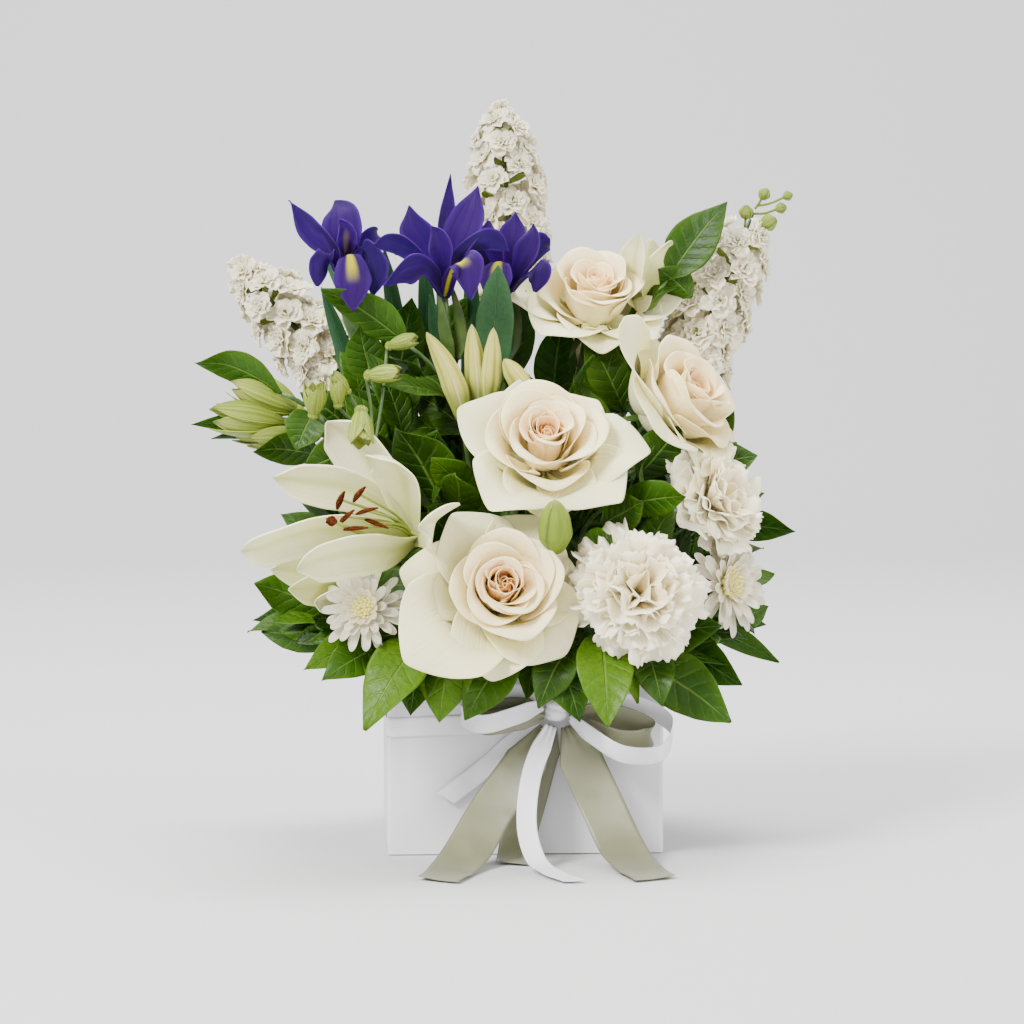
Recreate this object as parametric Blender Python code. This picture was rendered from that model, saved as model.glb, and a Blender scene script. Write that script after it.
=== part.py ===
"""Flower box: a square card box holding a water liner, a brick of wet floral foam, cut flowers on their own
stems, sprigs of leaves, and a two-ribbon bow tied round the box. Metres, +Z up, origin at the middle of the
box's underside, -Y towards the front where the bow is. Lengths in this file are written in millimetres."""

import math

import bmesh
import bpy
from mathutils import Vector

MM = 0.001
GAP = 0.3  # left between pieces that touch

# The box, its liner and the foam
BOX_SIDE = 155.0
BOX_HEIGHT = 115.0
CARD = 2.0
BOX_CORNER = 2.0
LINER_WALL = 0.8
LINER_PLAY = 0.7
LINER_HEIGHT = 100.0
FOAM_WIDTH = 122.0
FOAM_DEPTH = 112.0
FOAM_TOP = 132.0
FOAM_CENTRE_Y = -10.0  # the foam stands forward, which leaves a watering gap behind it
FOAM_CHAMFER = 9.0

# Every stem points away from one spot inside the foam, so that no two of them cross
STEM_FOCUS = Vector((0.0, -5.0, 72.0))
STEM_START = 33.0
STEM_SIDES = 6

# Ribbons
WHITE_WIDTH = 11.0
SAGE_WIDTH = 25.0
LOOP_SAGE_WIDTH = 13.5  # the wide ribbon is folded over inside the loops
RIBBON_THICK = 0.5
RIBBON_PINCH = 6.5
KNOT = Vector((16.0, -87.5, 82.0))


def material(name, colour, roughness, metallic=0.0):
    made = bpy.data.materials.new(name)
    made.use_nodes = True
    shader = made.node_tree.nodes["Principled BSDF"]
    shader.inputs["Base Color"].default_value = (*colour, 1.0)
    shader.inputs["Roughness"].default_value = roughness
    shader.inputs["Metallic"].default_value = metallic
    return made


def clear_scene():
    for obj in list(bpy.data.objects):
        bpy.data.objects.remove(obj, do_unlink=True)


def mesh_object(name, bm, finish):
    """Turns a bmesh drawn in millimetres into an object in metres, with sharp creases kept crisp."""
    bmesh.ops.recalc_face_normals(bm, faces=bm.faces)
    bmesh.ops.scale(bm, vec=(MM, MM, MM), verts=bm.verts)
    mesh = bpy.data.meshes.new(name)
    bm.to_mesh(mesh)
    bm.free()
    mesh.shade_smooth()
    mesh.set_sharp_from_angle(angle=math.radians(40))
    mesh.materials.append(finish)
    obj = bpy.data.objects.new(name, mesh)
    bpy.context.scene.collection.objects.link(obj)
    return obj


def loft(rings):
    """A closed skin over rings of points that follow one another, with a face over each end. A ring
    may hold a whole multiple of the points of the ring before it."""
    bm = bmesh.new()
    rows = [[bm.verts.new(p) for p in ring] for ring in rings]
    for a, b in zip(rows, rows[1:]):
        split = len(b) // len(a)
        for i in range(len(a)):
            j = (i + 1) % len(a)
            fan = [b[(i * split + k) % len(b)] for k in range(split + 1)]
            for p, q in zip(fan[:-2], fan[1:-1]):
                bm.faces.new((a[i], q, p))
            bm.faces.new((a[i], a[j], fan[-1], fan[-2]))
    bm.faces.new(rows[0][::-1])
    bm.faces.new(rows[-1])
    return bm


def bezier(p0, p1, p2, p3, count):
    points = []
    for i in range(count):
        t = i / (count - 1)
        s = 1 - t
        points.append(p0 * s**3 + p1 * (3 * s * s * t) + p2 * (3 * s * t * t) + p3 * t**3)
    return points


def smooth_route(knots, count):
    """Evenly many points on a Catmull-Rom curve through the knots."""
    ends = [knots[0] * 2 - knots[1], *knots, knots[-1] * 2 - knots[-2]]
    spans = len(knots) - 1
    points = []
    for i in range(count):
        at = i / (count - 1) * spans
        k = min(int(at), spans - 1)
        t = at - k
        a, b, c, d = ends[k : k + 4]
        points.append(
            (b * 2 + (c - a) * t + (a * 2 - b * 5 + c * 4 - d) * t * t
             + (b * 3 - a - c * 3 + d) * t**3) * 0.5
        )
    return points


def tangents(points):
    last = len(points) - 1
    return [(points[min(i + 1, last)] - points[max(i - 1, 0)]).normalized() for i in range(last + 1)]


def square_frames(points, first):
    """Two directions across the route at each point, carried along it with no twist."""
    frames = []
    side = first
    for along in tangents(points):
        side = (side - along * side.dot(along)).normalized()
        frames.append((side, along.cross(side)))
    return frames


def tube_rings(points, radius, sides=STEM_SIDES):
    """Rings of points round a rod of this radius."""
    first = tangents(points)[0].cross(Vector((0.31, 0.17, 0.93))).normalized()
    turns = [2 * math.pi * k / sides for k in range(sides)]
    rings = []
    for p, (u, w) in zip(points, square_frames(points, first)):
        rings.append([p + u * (radius * math.cos(a)) + w * (radius * math.sin(a)) for a in turns])
    return rings


def axis_frame(face):
    """Two directions square to the way a bloom faces."""
    face = face.normalized()
    side = face.cross(Vector((0, 0, 1))) if abs(face.z) < 0.95 else Vector((1, 0, 0))
    side.normalize()
    return side, side.cross(face).normalized()


def unite(base, others):
    """Joins closed shapes into the base with Boolean unions, and keeps them as hidden guides."""
    for other in others:
        other.hide_render = True
        other.display_type = "WIRE"
        joint = base.modifiers.new("join_" + other.name, "BOOLEAN")
        joint.operation = "UNION"
        joint.object = other
    return base


# The card box is one folded and glued tray; the liner is a thin moulded tray that drops into it
def rounded_square(half_x, half_y, radius, z, steps=3):
    ring = []
    for corner in range(4):
        sx, sy = ((1, 1), (-1, 1), (-1, -1), (1, -1))[corner]
        for k in range(steps + 1):
            a = math.pi / 2 * (corner + k / steps)
            ring.append(Vector((sx * (half_x - radius) + radius * math.cos(a),
                                sy * (half_y - radius) + radius * math.sin(a), z)))
    return ring


def open_tray(name, side, bottom, top, wall, corner, finish):
    outer, inner = side / 2, side / 2 - wall
    inner_corner = max(corner - wall, 0.5)
    rings = [
        rounded_square(outer, outer, corner, bottom),
        rounded_square(outer, outer, corner, top),
        rounded_square(inner, inner, inner_corner, top),
        rounded_square(inner, inner, inner_corner, bottom + wall),
    ]
    return mesh_object(name, loft(rings), finish)


def foam_block(bottom, finish, cutters):
    hx, hy = FOAM_WIDTH / 2, FOAM_DEPTH / 2
    c = FOAM_CHAMFER
    shift = Vector((0, FOAM_CENTRE_Y, 0))
    rings = [
        [p + shift for p in rounded_square(hx, hy, 1.0, bottom, 1)],
        [p + shift for p in rounded_square(hx, hy, 1.0, FOAM_TOP - c, 1)],
        [p + shift for p in rounded_square(hx - c, hy - c, 1.0, FOAM_TOP, 1)],
    ]
    foam = mesh_object("foam_brick", loft(rings), finish)
    bm = bmesh.new()
    for rings in cutters:
        part = loft(rings)
        bmesh.ops.recalc_face_normals(part, faces=part.faces)
        held = bpy.data.meshes.new("cutter_part")
        part.to_mesh(held)
        part.free()
        bm.from_mesh(held)
    cutter = mesh_object("stem_hole_cutter", bm, finish)
    cutter.hide_render = True
    cutter.display_type = "WIRE"
    holes = foam.modifiers.new("stem_holes", "BOOLEAN")
    holes.operation = "DIFFERENCE"
    holes.object = cutter
    holes.use_self = True
    return foam


# A stem starts inside the foam and ends behind its bloom, meeting it square on
stem_cutters = []


def stem_route(base, face, count=8, lift=0.0):
    """From the foam to the point base, arriving along face. lift raises the middle, over the box's rim."""
    away = base - STEM_FOCUS
    way = (away + Vector((0, 0, lift))).normalized()
    reach = away.length
    start = STEM_FOCUS + way * STEM_START
    bend = STEM_FOCUS + way * (reach * 0.62)
    return bezier(start, bend, base - face.normalized() * (reach * 0.22), base, count)


def drill(route, radius):
    """Notes the hole that this stem needs: the buried stretch, a little fatter and deeper than the stem."""
    buried = []
    for p in route:
        buried.append(p)
        beside = abs(p.x) > FOAM_WIDTH / 2 + 4 or abs(p.y - FOAM_CENTRE_Y) > FOAM_DEPTH / 2 + 4
        if beside or p.z > FOAM_TOP + 4:
            break
    back = (route[0] - route[1]).normalized() * GAP
    clear = (radius + GAP) / math.cos(math.pi / STEM_SIDES)
    stem_cutters.append(tube_rings([route[0] + back, *buried[1:]], clear))


def turned(centre, face, profile, lobes=0, steps=16, turn=0.0):
    """Rings round the line through centre along face. profile rows: (along, radius, lobe share)."""
    u, v = axis_frame(face)
    n = face.normalized()
    rings = []
    for along, radius, share in profile:
        ring = []
        for k in range(steps):
            a = 2 * math.pi * k / steps
            r = radius * (1 - share * (0.5 - 0.5 * math.cos(lobes * (a - turn))))
            ring.append(centre + n * along + u * (r * math.cos(a)) + v * (r * math.sin(a)))
        rings.append(ring)
    return rings


def flower(name, centre, face, profile, radius, finish, lift=0.0, lobes=0, steps=12):
    """One piece: the stem's rings run straight on into the head's rings."""
    face = face.normalized()
    route = stem_route(centre + face * (profile[0][0] - 4.0), face, lift=lift)
    drill(route, radius)
    rod = tube_rings(route, radius)
    head = turned(centre, face, profile, lobes, steps)
    first, last = head[0], rod[-1]
    split = steps // STEM_SIDES
    orders = []
    for flip in (1, -1):
        orders += [[(shift + flip * k) % steps for k in range(steps)] for shift in range(steps)]
    order = min(orders, key=lambda o: sum((first[o[k * split]] - p).length for k, p in enumerate(last)))
    return mesh_object(name, loft(rod + [[ring[k] for k in order] for ring in head]), finish)


# Profiles of the blooms, each along its facing direction from the calyx out
def rose_profile(r):
    return [(-0.62 * r, 5.0, 0), (-0.5 * r, 0.34 * r, 0), (-0.18 * r, 0.62 * r, 0.04),
            (0.06 * r, 0.98 * r, 0.2), (0.16 * r, 0.96 * r, 0.2), (0.24 * r, 0.66 * r, 0.05),
            (0.5 * r, 0.5 * r, 0), (0.56 * r, 0.3 * r, 0)]


def carnation_profile(r):
    return [(-0.9 * r, 4.0, 0), (-0.6 * r, 0.2 * r, 0), (-0.3 * r, 0.3 * r, 0), (-0.12 * r, 0.8 * r, 0.06),
            (0.06 * r, r, 0.08), (0.3 * r, 0.82 * r, 0.08), (0.52 * r, 0.48 * r, 0.05), (0.6 * r, 0.2 * r, 0)]


def daisy_profile(r):
    return [(-0.45 * r, 3.0, 0), (-0.3 * r, 0.3 * r, 0), (-0.05 * r, 0.9 * r, 0.15), (0.1 * r, r, 0.15),
            (0.25 * r, 0.6 * r, 0.1), (0.4 * r, 0.25 * r, 0)]


def lily_profile(r, open_share):
    """A six-lobed trumpet with a real hollow: up the outside, over the rim and down the inside."""
    rim = r * open_share
    outside = [(-0.75 * r, 3.4, 0), (-0.6 * r, 0.14 * rim, 0.05), (-0.2 * r, 0.34 * rim, 0.3),
               (0.2 * r, 0.78 * rim, 0.55), (0.33 * r, rim, 0.62)]
    inside = [(0.36 * r, 0.98 * rim, 0.62), (0.26 * r, 0.72 * rim, 0.55), (-0.12 * r, 0.28 * rim, 0.3),
              (-0.42 * r, 0.09 * rim, 0.05)]
    return outside + inside


def iris_profile(r):
    return [(-0.85 * r, 4.2, 0), (-0.55 * r, 0.16 * r, 0), (-0.3 * r, 0.3 * r, 0.2),
            (-0.02 * r, 0.86 * r, 0.62), (0.08 * r, 0.95 * r, 0.64), (0.16 * r, 0.62 * r, 0.45),
            (0.5 * r, 0.42 * r, 0.2), (0.85 * r, 0.14 * r, 0)]


def bud_profile(length, r):
    return [(0, 1.6, 0), (0.12 * length, 0.62 * r, 0), (0.38 * length, r, 0.08), (0.7 * length, 0.8 * r, 0.1),
            (0.93 * length, 0.36 * r, 0), (length, 0.12 * r, 0)]


def spire_profile(length, r):
    """A column of packed florets, thickest a third of the way up, with a few shallow waists."""
    rows = [(0.0, 0.3 * r, 0)]
    for k in range(1, 10):
        s = k / 10
        body = math.sin(math.pi * min(1.0, 0.32 + 0.72 * s)) ** 0.7
        rows.append((s * length, r * max(body, 0.25) * (1.0 if k % 2 else 0.9), 0.14))
    rows.append((length, 0.16 * r, 0))
    return rows


# Ribbons are flat strips, pinched where they enter the knot
def strip_skin(rings):
    """A closed strip over four-point sections. Its two broad sides are split along the same diagonals, so they
    stay a ribbon's thickness apart where it twists."""
    bm = bmesh.new()
    rows = [[bm.verts.new(p) for p in ring] for ring in rings]
    for a, b in zip(rows, rows[1:]):
        for i, j in ((0, 1), (3, 2), (1, 2), (3, 0)):
            bm.faces.new((a[i], a[j], b[j]))
            bm.faces.new((a[i], b[j], b[i]))
    bm.faces.new(rows[0][::-1])
    bm.faces.new(rows[-1])
    return bm


def ribbon(name, knots, across, width, finish, count, pinch_end=False):
    """knots are route points and across is the width direction at each of them, both blended along the way.
    The strip starts in the knot of the bow, pinched narrow, and may end there too."""
    route = smooth_route(knots, count)
    lie = smooth_route(across, count)
    rings = []
    for i, (p, along) in enumerate(zip(route, tangents(route))):
        w = lie[i] - along * lie[i].dot(along)
        w.normalize()
        n = along.cross(w)
        from_knot = min(i, count - 1 - i) if pinch_end else i
        half = min(width / 2, RIBBON_PINCH / 2 + from_knot / (count - 1) * width * 2.2)
        t = RIBBON_THICK / 2
        rings.append([p + w * half + n * t, p - w * half + n * t, p - w * half - n * t, p + w * half - n * t])
    return mesh_object(name, strip_skin(rings), finish)


def ribbon_band(z, width, finish):
    """The ribbon round the box: a square hoop standing just off the card."""
    inner = BOX_SIDE / 2 + GAP
    outer = inner + RIBBON_THICK
    low, high = z - width / 2, z + width / 2
    bm = bmesh.new()
    rings = [rounded_square(s, s, BOX_CORNER + s - BOX_SIDE / 2, h)
             for s, h in ((inner, low), (outer, low), (outer, high), (inner, high))]
    rows = [[bm.verts.new(p) for p in ring] for ring in rings]
    for a, b in zip(rows, rows[1:] + rows[:1]):
        for i in range(len(a)):
            j = (i + 1) % len(a)
            bm.faces.new((a[i], a[j], b[j], b[i]))
    return mesh_object("ribbon_band", bm, finish)


# A leaf is a thin lens on a curved midrib; its stalk runs down to the foam as one piece with it
LEAF_THICK = 1.3
SIDE_LEAF_STATIONS = ((0.0, 0.08), (0.16, 0.16), (0.32, 0.7), (0.58, 1.0), (0.82, 0.6), (1.0, 0.06))
LEAF_STATIONS = ((0.0, 0.12), (0.12, 0.5), (0.3, 0.92), (0.5, 1.0), (0.7, 0.82), (0.87, 0.45), (1.0, 0.06))


def leaf_rings(base, tip, width, bow, side, stations=LEAF_STATIONS):
    """Diamond sections from base to tip; bow lifts the middle along the leaf's own normal."""
    along = tip - base
    across = (side - along.normalized() * side.dot(along.normalized())).normalized()
    up = across.cross(along.normalized())
    rings = []
    for s, share in stations:
        p = base + along * s + up * (bow * math.sin(math.pi * s))
        half = width / 2 * share
        rings.append([p + across * half, p + up * LEAF_THICK / 2, p - across * half, p - up * LEAF_THICK / 2])
    return rings


def stalk_into(rings, base, face, radius, lift):
    """The four-sided stalk that carries a leaf, joined to the leaf's first section."""
    route = stem_route(base, face, lift=lift)
    drill(route, radius * 1.05)
    square = tube_rings(route[:-1], radius, 4)
    first, last = rings[0], square[-1]
    best = None
    for flip in (1, -1):
        for shift in range(4):
            order = [(shift + flip * k) % 4 for k in range(4)]
            cost = sum((last[order[k]] - first[k]).length for k in range(4))
            if best is None or cost < best[0]:
                best = (cost, order)
    order = best[1]
    return [[ring[k] for k in order] for ring in square] + rings


def leaf(name, base, tip, width, bow, side, finish, lift=0.0, radius=1.3, more=()):
    """A leaf on its stalk. more lists further leaves of the same sprig: (point of the stalk's route, tip,
    width)."""
    rings = leaf_rings(base, tip, width, bow, side)
    face = tip - base
    main = mesh_object(name, loft(stalk_into(rings, base, face, radius, lift)), finish)
    route = stem_route(base, face, lift=lift)
    joined = []
    for k, (at, end, wide) in enumerate(more):
        start = route[at]
        across = (end - start).cross(Vector((0.2, -0.4, 0.9)))
        extra = loft(leaf_rings(start, end, wide, 3.0, across, SIDE_LEAF_STATIONS))
        joined.append(mesh_object(f"{name}_side_{k}", extra, finish))
    return unite(main, joined)


def v(x, y, z):
    return Vector((x, y, z))


def build():
    clear_scene()
    card = material("white_card", (0.86, 0.86, 0.88), 0.6)
    liner_plastic = material("liner_film", (0.12, 0.2, 0.12), 0.3)
    foam_green = material("foam_green", (0.1, 0.26, 0.1), 0.95)
    white_satin = material("white_satin", (0.85, 0.84, 0.87), 0.35)
    sage_satin = material("sage_satin", (0.34, 0.34, 0.25), 0.38)
    cream = material("cream_petal", (0.86, 0.78, 0.62), 0.55)
    white = material("white_petal", (0.85, 0.84, 0.76), 0.6)
    lily_green = material("lily_petal", (0.78, 0.78, 0.5), 0.5)
    violet = material("violet_petal", (0.09, 0.03, 0.32), 0.55)
    green = material("leaf_green", (0.06, 0.17, 0.03), 0.45)

    # Box and its insert
    open_tray("box_tray", BOX_SIDE, 0.0, BOX_HEIGHT, CARD, BOX_CORNER, card)
    liner_side = BOX_SIDE - 2 * CARD - 2 * LINER_PLAY
    liner_bottom = CARD + GAP
    open_tray("water_liner", liner_side, liner_bottom, LINER_HEIGHT, LINER_WALL, 1.5, liner_plastic)

    # Roses: a front pair facing the viewer, one behind and one turned to the right
    roses = (
        ("front", v(-15, -132, 153), v(0.06, -0.95, 0.3), 40.0, 4.0),
        ("centre", v(10, -98, 229), v(0.02, -0.86, 0.5), 38.0, 0.0),
        ("back", v(43, -8, 312), v(0.1, -0.5, 0.86), 34.0, 0.0),
        ("right", v(96, -44, 257), v(0.62, -0.5, 0.6), 36.0, 0.0),
    )
    for where, centre, face, r, lift in roses:
        flower(f"rose_{where}", centre, face, rose_profile(r), 2.4, cream, lift, 5, 18)

    # Carnations: a full one in front and one turned to the right
    carnations = (("front", v(60, -122, 149), v(0.12, -0.93, 0.33), 37.0, 8.0),
                  ("right", v(110, -62, 197), v(0.6, -0.55, 0.42), 32.0, 0.0))
    for where, centre, face, r, lift in carnations:
        flower(f"carnation_{where}", centre, face, carnation_profile(r), 1.8, white, lift, 9, 18)

    # Open lilies: the large one at the left, a pale one under it and one at the back right
    lilies = (("left", v(-92, -118, 181), v(-0.84, -0.4, 0.26), 50.0, 1.0),
              ("low_left", v(-114, -76, 158), v(-0.86, -0.42, 0.1), 28.0, 0.9),
              ("back_right", v(92, 16, 326), v(0.35, -0.15, 0.93), 34.0, 0.5))
    for where, centre, face, r, share in lilies:
        flower(f"lily_{where}", centre, face, lily_profile(r, share), 2.0, lily_green, 0.0, 6, 18)

    # Irises on one-piece stems
    irises = (("left", v(-101, -18, 332), v(-0.22, -0.2, 0.95), 33.0),
              ("centre", v(-42, -28, 343), v(-0.1, -0.2, 0.97), 34.0),
              ("right", v(-6, 2, 337), v(0.12, -0.1, 0.98), 30.0))
    for where, centre, face, r in irises:
        flower(f"iris_{where}", centre, face, iris_profile(r), 2.4, violet, 0.0, 3, 12)

    # Stocks: tall columns of florets at the back and both sides, and a lower one behind the roses
    stocks = (("back", v(6, 62, 312), v(-0.1, 0.03, 1.0), 122.0, 21.0),
              ("left", v(-92, 50, 258), v(-0.66, 0.02, 0.74), 102.0, 20.0),
              ("right", v(104, 18, 262), v(0.36, 0.05, 0.93), 118.0, 18.0),
              ("middle", v(37, 38, 262), v(0.0, 0.18, 0.98), 62.0, 17.0))
    for where, base, face, length, r in stocks:
        flower(f"stock_{where}", base, face, spire_profile(length, r), 2.4, white, lobes=4, steps=12)

    # Spray chrysanthemums low on both sides
    for where, centre, face, r, lift in (("left", v(-90, -106, 140), v(-0.35, -0.86, 0.2), 20.0, 16.0),
                                         ("right", v(114, -70, 147), v(0.6, -0.7, 0.15), 25.0, 10.0)):
        flower(f"chrysanthemum_{where}", centre, face, daisy_profile(r), 1.6, white, lift, 9, 18)

    # Closed buds: lily buds stand up behind the roses, alstroemeria buds fill the left
    buds = (("lily_bud_tall", v(-36, -72, 240), v(-0.3, -0.06, 0.95), 58.0, 8.0),
            ("lily_bud_upright", v(-22, -50, 246), v(0.02, -0.04, 1.0), 54.0, 10.5),
            ("lily_bud_small", v(0, -56, 258), v(0.3, -0.2, 0.9), 26.0, 7.0),
            ("green_bud_front", v(13, -106, 173), v(0.0, -0.38, 0.92), 31.0, 10.5))
    for name, base, face, length, r in buds:
        flower(name, base, face, bud_profile(length, r), 1.5, lily_green, lobes=3, steps=12)
    sprays = (
        ("alstroemeria_left", v(-118, -44, 232), v(-0.95, 0.0, 0.28), 58.0, 9.0,
         ((v(-120, -42, 238), v(-0.8, 0.1, 0.5), 48.0, 7.5),
          (v(-118, -46, 230), v(-0.97, -0.12, 0.12), 46.0, 6.5))),
        ("alstroemeria_centre", v(-88, -92, 226), v(-0.1, -0.3, 0.95), 27.0, 8.5,
         ((v(-90, -90, 224), v(-0.55, -0.1, 0.8), 40.0, 6.5),
          (v(-86, -89, 224), v(0.12, 0.08, 0.98), 50.0, 6.0))),
    )
    for name, base, face, length, r, more in sprays:
        main = flower(name, base, face, bud_profile(length, r), 2.0, lily_green, lobes=3, steps=12)
        others = [mesh_object(f"{name}_bud_{k}", loft(turned(b, f, bud_profile(n, br), 3, 10)), lily_green)
                  for k, (b, f, n, br) in enumerate(more)]
        unite(main, others)

    # Leaves over the front edge of the box
    front = (
        ("leaf_front_left_low", v(-56, -104, 128), v(-90, -129, 78), 31.0, 5.0, v(-0.6, 0.5, 0.5), 26.0,
         ((5, v(-76, -92, 112), 22),)),
        ("leaf_front_left", v(-80, -70, 122), v(-122, -94, 104), 22.0, 3.0, v(0.0, 0.7, 0.7), 20.0,
         ((6, v(-114, -60, 124), 22),)),
        ("leaf_left", v(-86, -42, 126), v(-150, -52, 134), 28.0, 4.0, v(-0.1, -0.3, 1.0), 16.0,
         ((5, v(-112, -34, 108), 24), (6, v(-128, -36, 152), 24))),
        ("leaf_front_inner", v(-40, -100, 126), v(-48, -120, 84), 26.0, 4.0, v(1.0, -0.1, 0.2), 24.0,
         ((5, v(-22, -112, 106), 20),)),
        ("leaf_front_dark", v(12, -98, 126), v(26, -122, 80), 30.0, 5.0, v(1.0, 0.2, 0.4), 22.0,
         ((5, v(-2, -118, 96), 20),)),
        ("leaf_front_bright", v(40, -104, 128), v(40, -140, 82), 30.0, 5.0, v(1.0, 0.0, 0.0), 24.0,
         ((6, v(58, -118, 92), 20),)),
        ("leaf_front_right", v(82, -84, 126), v(118, -112, 82), 34.0, 6.0, v(0.5, -0.3, 0.9), 18.0,
         ((6, v(112, -88, 106), 22),)),
        ("leaf_right_low", v(92, -26, 130), v(146, -34, 100), 18.0, 3.0, v(0.2, -0.5, 0.9), 16.0,
         ((5, v(112, -10, 118), 22), (6, v(122, -42, 128), 20))),
    )
    for name, base, tip, width, bow, side, lift, more in front:
        leaf(name, base, tip, width, bow, side, green, lift, more=more)

    # Leaves among the flowers
    inner = (
        ("leaf_right", v(112, -6, 180), v(158, -22, 176), 22.0, 3.0, v(0.0, -0.4, 0.9),
         ((4, v(96, 22, 168), 26), (6, v(128, -20, 208), 22))),
        ("leaf_centre_right", v(50, -82, 196), v(84, -112, 200), 20.0, 3.0, v(0.0, -0.3, 0.95),
         ((5, v(62, -58, 190), 24), (6, v(40, -62, 222), 24))),
        ("leaf_centre_left", v(-44, -76, 190), v(-72, -92, 236), 36.0, 5.0, v(0.9, -0.35, 0.1),
         ((4, v(-58, -50, 170), 28), (5, v(-70, -66, 190), 26))),
        ("leaf_middle_small", v(-30, -84, 200), v(-52, -108, 222), 20.0, 3.0, v(0.8, -0.2, 0.5),
         ((6, v(-22, -104, 206), 18),)),
        ("leaf_left_arched", v(-112, -60, 262), v(-168, -66, 272), 27.0, 10.0, v(0.1, -0.5, 0.85),
         ((4, v(-84, -12, 206), 28), (5, v(-104, -68, 224), 24), (6, v(-128, -70, 226), 24))),
        ("leaf_upper_left", v(-64, -50, 284), v(-112, -62, 314), 24.0, 6.0, v(0.4, -0.5, 0.75),
         ((5, v(-80, -70, 262), 26), (5, v(-60, -26, 268), 26), (4, v(-70, -40, 236), 26))),
        ("leaf_back_right", v(100, -6, 296), v(124, -4, 366), 30.0, 4.0, v(0.9, -0.4, -0.3),
         ((5, v(118, 4, 260), 22), (4, v(66, 6, 250), 26), (6, v(88, -12, 312), 22))),
        ("leaf_back_low_left", v(-50, 64, 152), v(-88, 90, 134), 34.0, 5.0, v(0.6, 0.6, 0.4),
         ((5, v(-18, 92, 138), 30), (6, v(-78, 62, 168), 26))),
        ("leaf_back_low_right", v(58, 62, 150), v(92, 84, 132), 34.0, 5.0, v(-0.6, 0.6, 0.4),
         ((5, v(28, 90, 134), 30), (6, v(88, 58, 168), 26))),
        ("leaf_back_middle", v(-24, 62, 186), v(-40, 86, 226), 34.0, 5.0, v(0.9, 0.3, 0.1),
         ((5, v(2, 88, 190), 30), (6, v(-52, 72, 192), 26))),
        ("leaf_side_left", v(-98, 14, 158), v(-144, 18, 174), 30.0, 4.0, v(0.1, -0.4, 0.9),
         ((5, v(-104, 44, 138), 28), (6, v(-112, -6, 190), 26))),
        ("leaf_side_right", v(96, 34, 148), v(134, 46, 158), 28.0, 4.0, v(-0.1, -0.4, 0.9),
         ((5, v(98, 60, 128), 26), (6, v(106, 34, 186), 24))),
        ("iris_leaf_centre", v(-18, -38, 262), v(-14, -46, 330), 17.0, 3.0, v(1.0, -0.1, 0.0), ()),
        ("iris_leaf_left", v(-78, 16, 268), v(-118, 14, 352), 9.0, 2.0, v(0.9, -0.4, 0.3), ()),
    )
    for name, base, tip, width, bow, side, more in inner:
        leaf(name, base, tip, width, bow, side, green, more=more)

    # The bow: a white ribbon and a wider sage ribbon tied together over the band
    ribbon_band(KNOT.z, WHITE_WIDTH, white_satin)
    knot = [(-6, 3, 0), (-4, 5.4, 0), (0, 6.2, 0), (4, 5.4, 0), (6, 3, 0)]
    mesh_object("ribbon_knot", loft(turned(KNOT, v(0, 0, 1), knot, 0, 10)), white_satin)
    ribbon("white_loop_left",
           [v(8, -86.2, 85), v(-8, -88, 92), v(-28, -90, 90), v(-37, -98, 82), v(-26, -108, 77),
            v(-8, -105, 81), v(8.6, -94, 86)],
           [v(0, -0.25, 1)] * 7, WHITE_WIDTH, white_satin, 20, pinch_end=True)
    ribbon("white_loop_right",
           [v(24.4, -86, 84), v(42, -86, 88), v(64, -88, 84), v(80, -94, 74), v(74, -106, 60),
            v(52, -112, 60), v(34, -104, 70), v(23.6, -94, 78)],
           [v(0, -0.4, 1)] * 8, WHITE_WIDTH, white_satin, 22, pinch_end=True)
    ribbon("sage_loop_left",
           [v(9.4, -88.9, 80), v(-4, -92.5, 83), v(-20, -94, 82), v(-29, -98, 79.5), v(-22, -102, 77),
            v(-6, -99, 79), v(9.2, -90.4, 79.8)],
           [v(0, 0, 1)] * 7, LOOP_SAGE_WIDTH, sage_satin, 18, pinch_end=True)
    ribbon("sage_loop_right",
           [v(23.4, -88, 79), v(40, -91, 80), v(56, -92.5, 77), v(68, -96, 71), v(64, -100, 66),
            v(50, -103.5, 66), v(36, -99, 71), v(24, -90, 77)],
           [v(0, -0.2, 1)] * 8, LOOP_SAGE_WIDTH, sage_satin, 18, pinch_end=True)
    flat = v(1, 0, 0)
    ribbon("sage_tail_left",
           [v(10, -90, 73), v(-3, -98, 52), v(-20, -108, 30), v(-34, -124, 10), v(-44, -146, 2.2),
            v(-52, -168, 1)],
           [v(1, 0, 0.45), v(1, 0, 0.4), v(1, 0.1, 0.2), v(1, 0.25, 0), v(1, 0.35, 0), v(1, 0.35, 0)],
           SAGE_WIDTH, sage_satin, 18)
    ribbon("sage_tail_right",
           [v(22, -87, 73), v(31, -94, 52), v(42, -105, 28), v(51, -122, 9), v(58, -146, 2.2),
            v(64, -170, 1)],
           [flat, v(1, 0, -0.2), v(1, -0.1, -0.1), v(1, -0.2, 0), v(1, -0.25, 0), v(1, -0.25, 0)],
           SAGE_WIDTH, sage_satin, 18)
    ribbon("sage_tail_inner",
           [v(14, -83.4, 73), v(8, -83, 56), v(2, -84, 34), v(-4, -88, 14), v(-7, -98, 2.8), v(-9, -116, 1)],
           [flat, flat, flat, flat, v(1, 0.1, 0), v(1, 0.1, 0)], 20.0, sage_satin, 18)
    ribbon("white_tail_centre",
           [v(13, -94, 74), v(2, -106, 50), v(-2, -120, 24), v(2, -136, 6.5), v(10, -156, 2.2),
            v(20, -176, 1)],
           [v(1, 0.2, 0.3), v(1, 0.2, 0.1), v(1, 0, 0), v(1, -0.1, 0), v(1, -0.4, 0), v(1, -0.5, 0)],
           WHITE_WIDTH, white_satin, 18)
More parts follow.
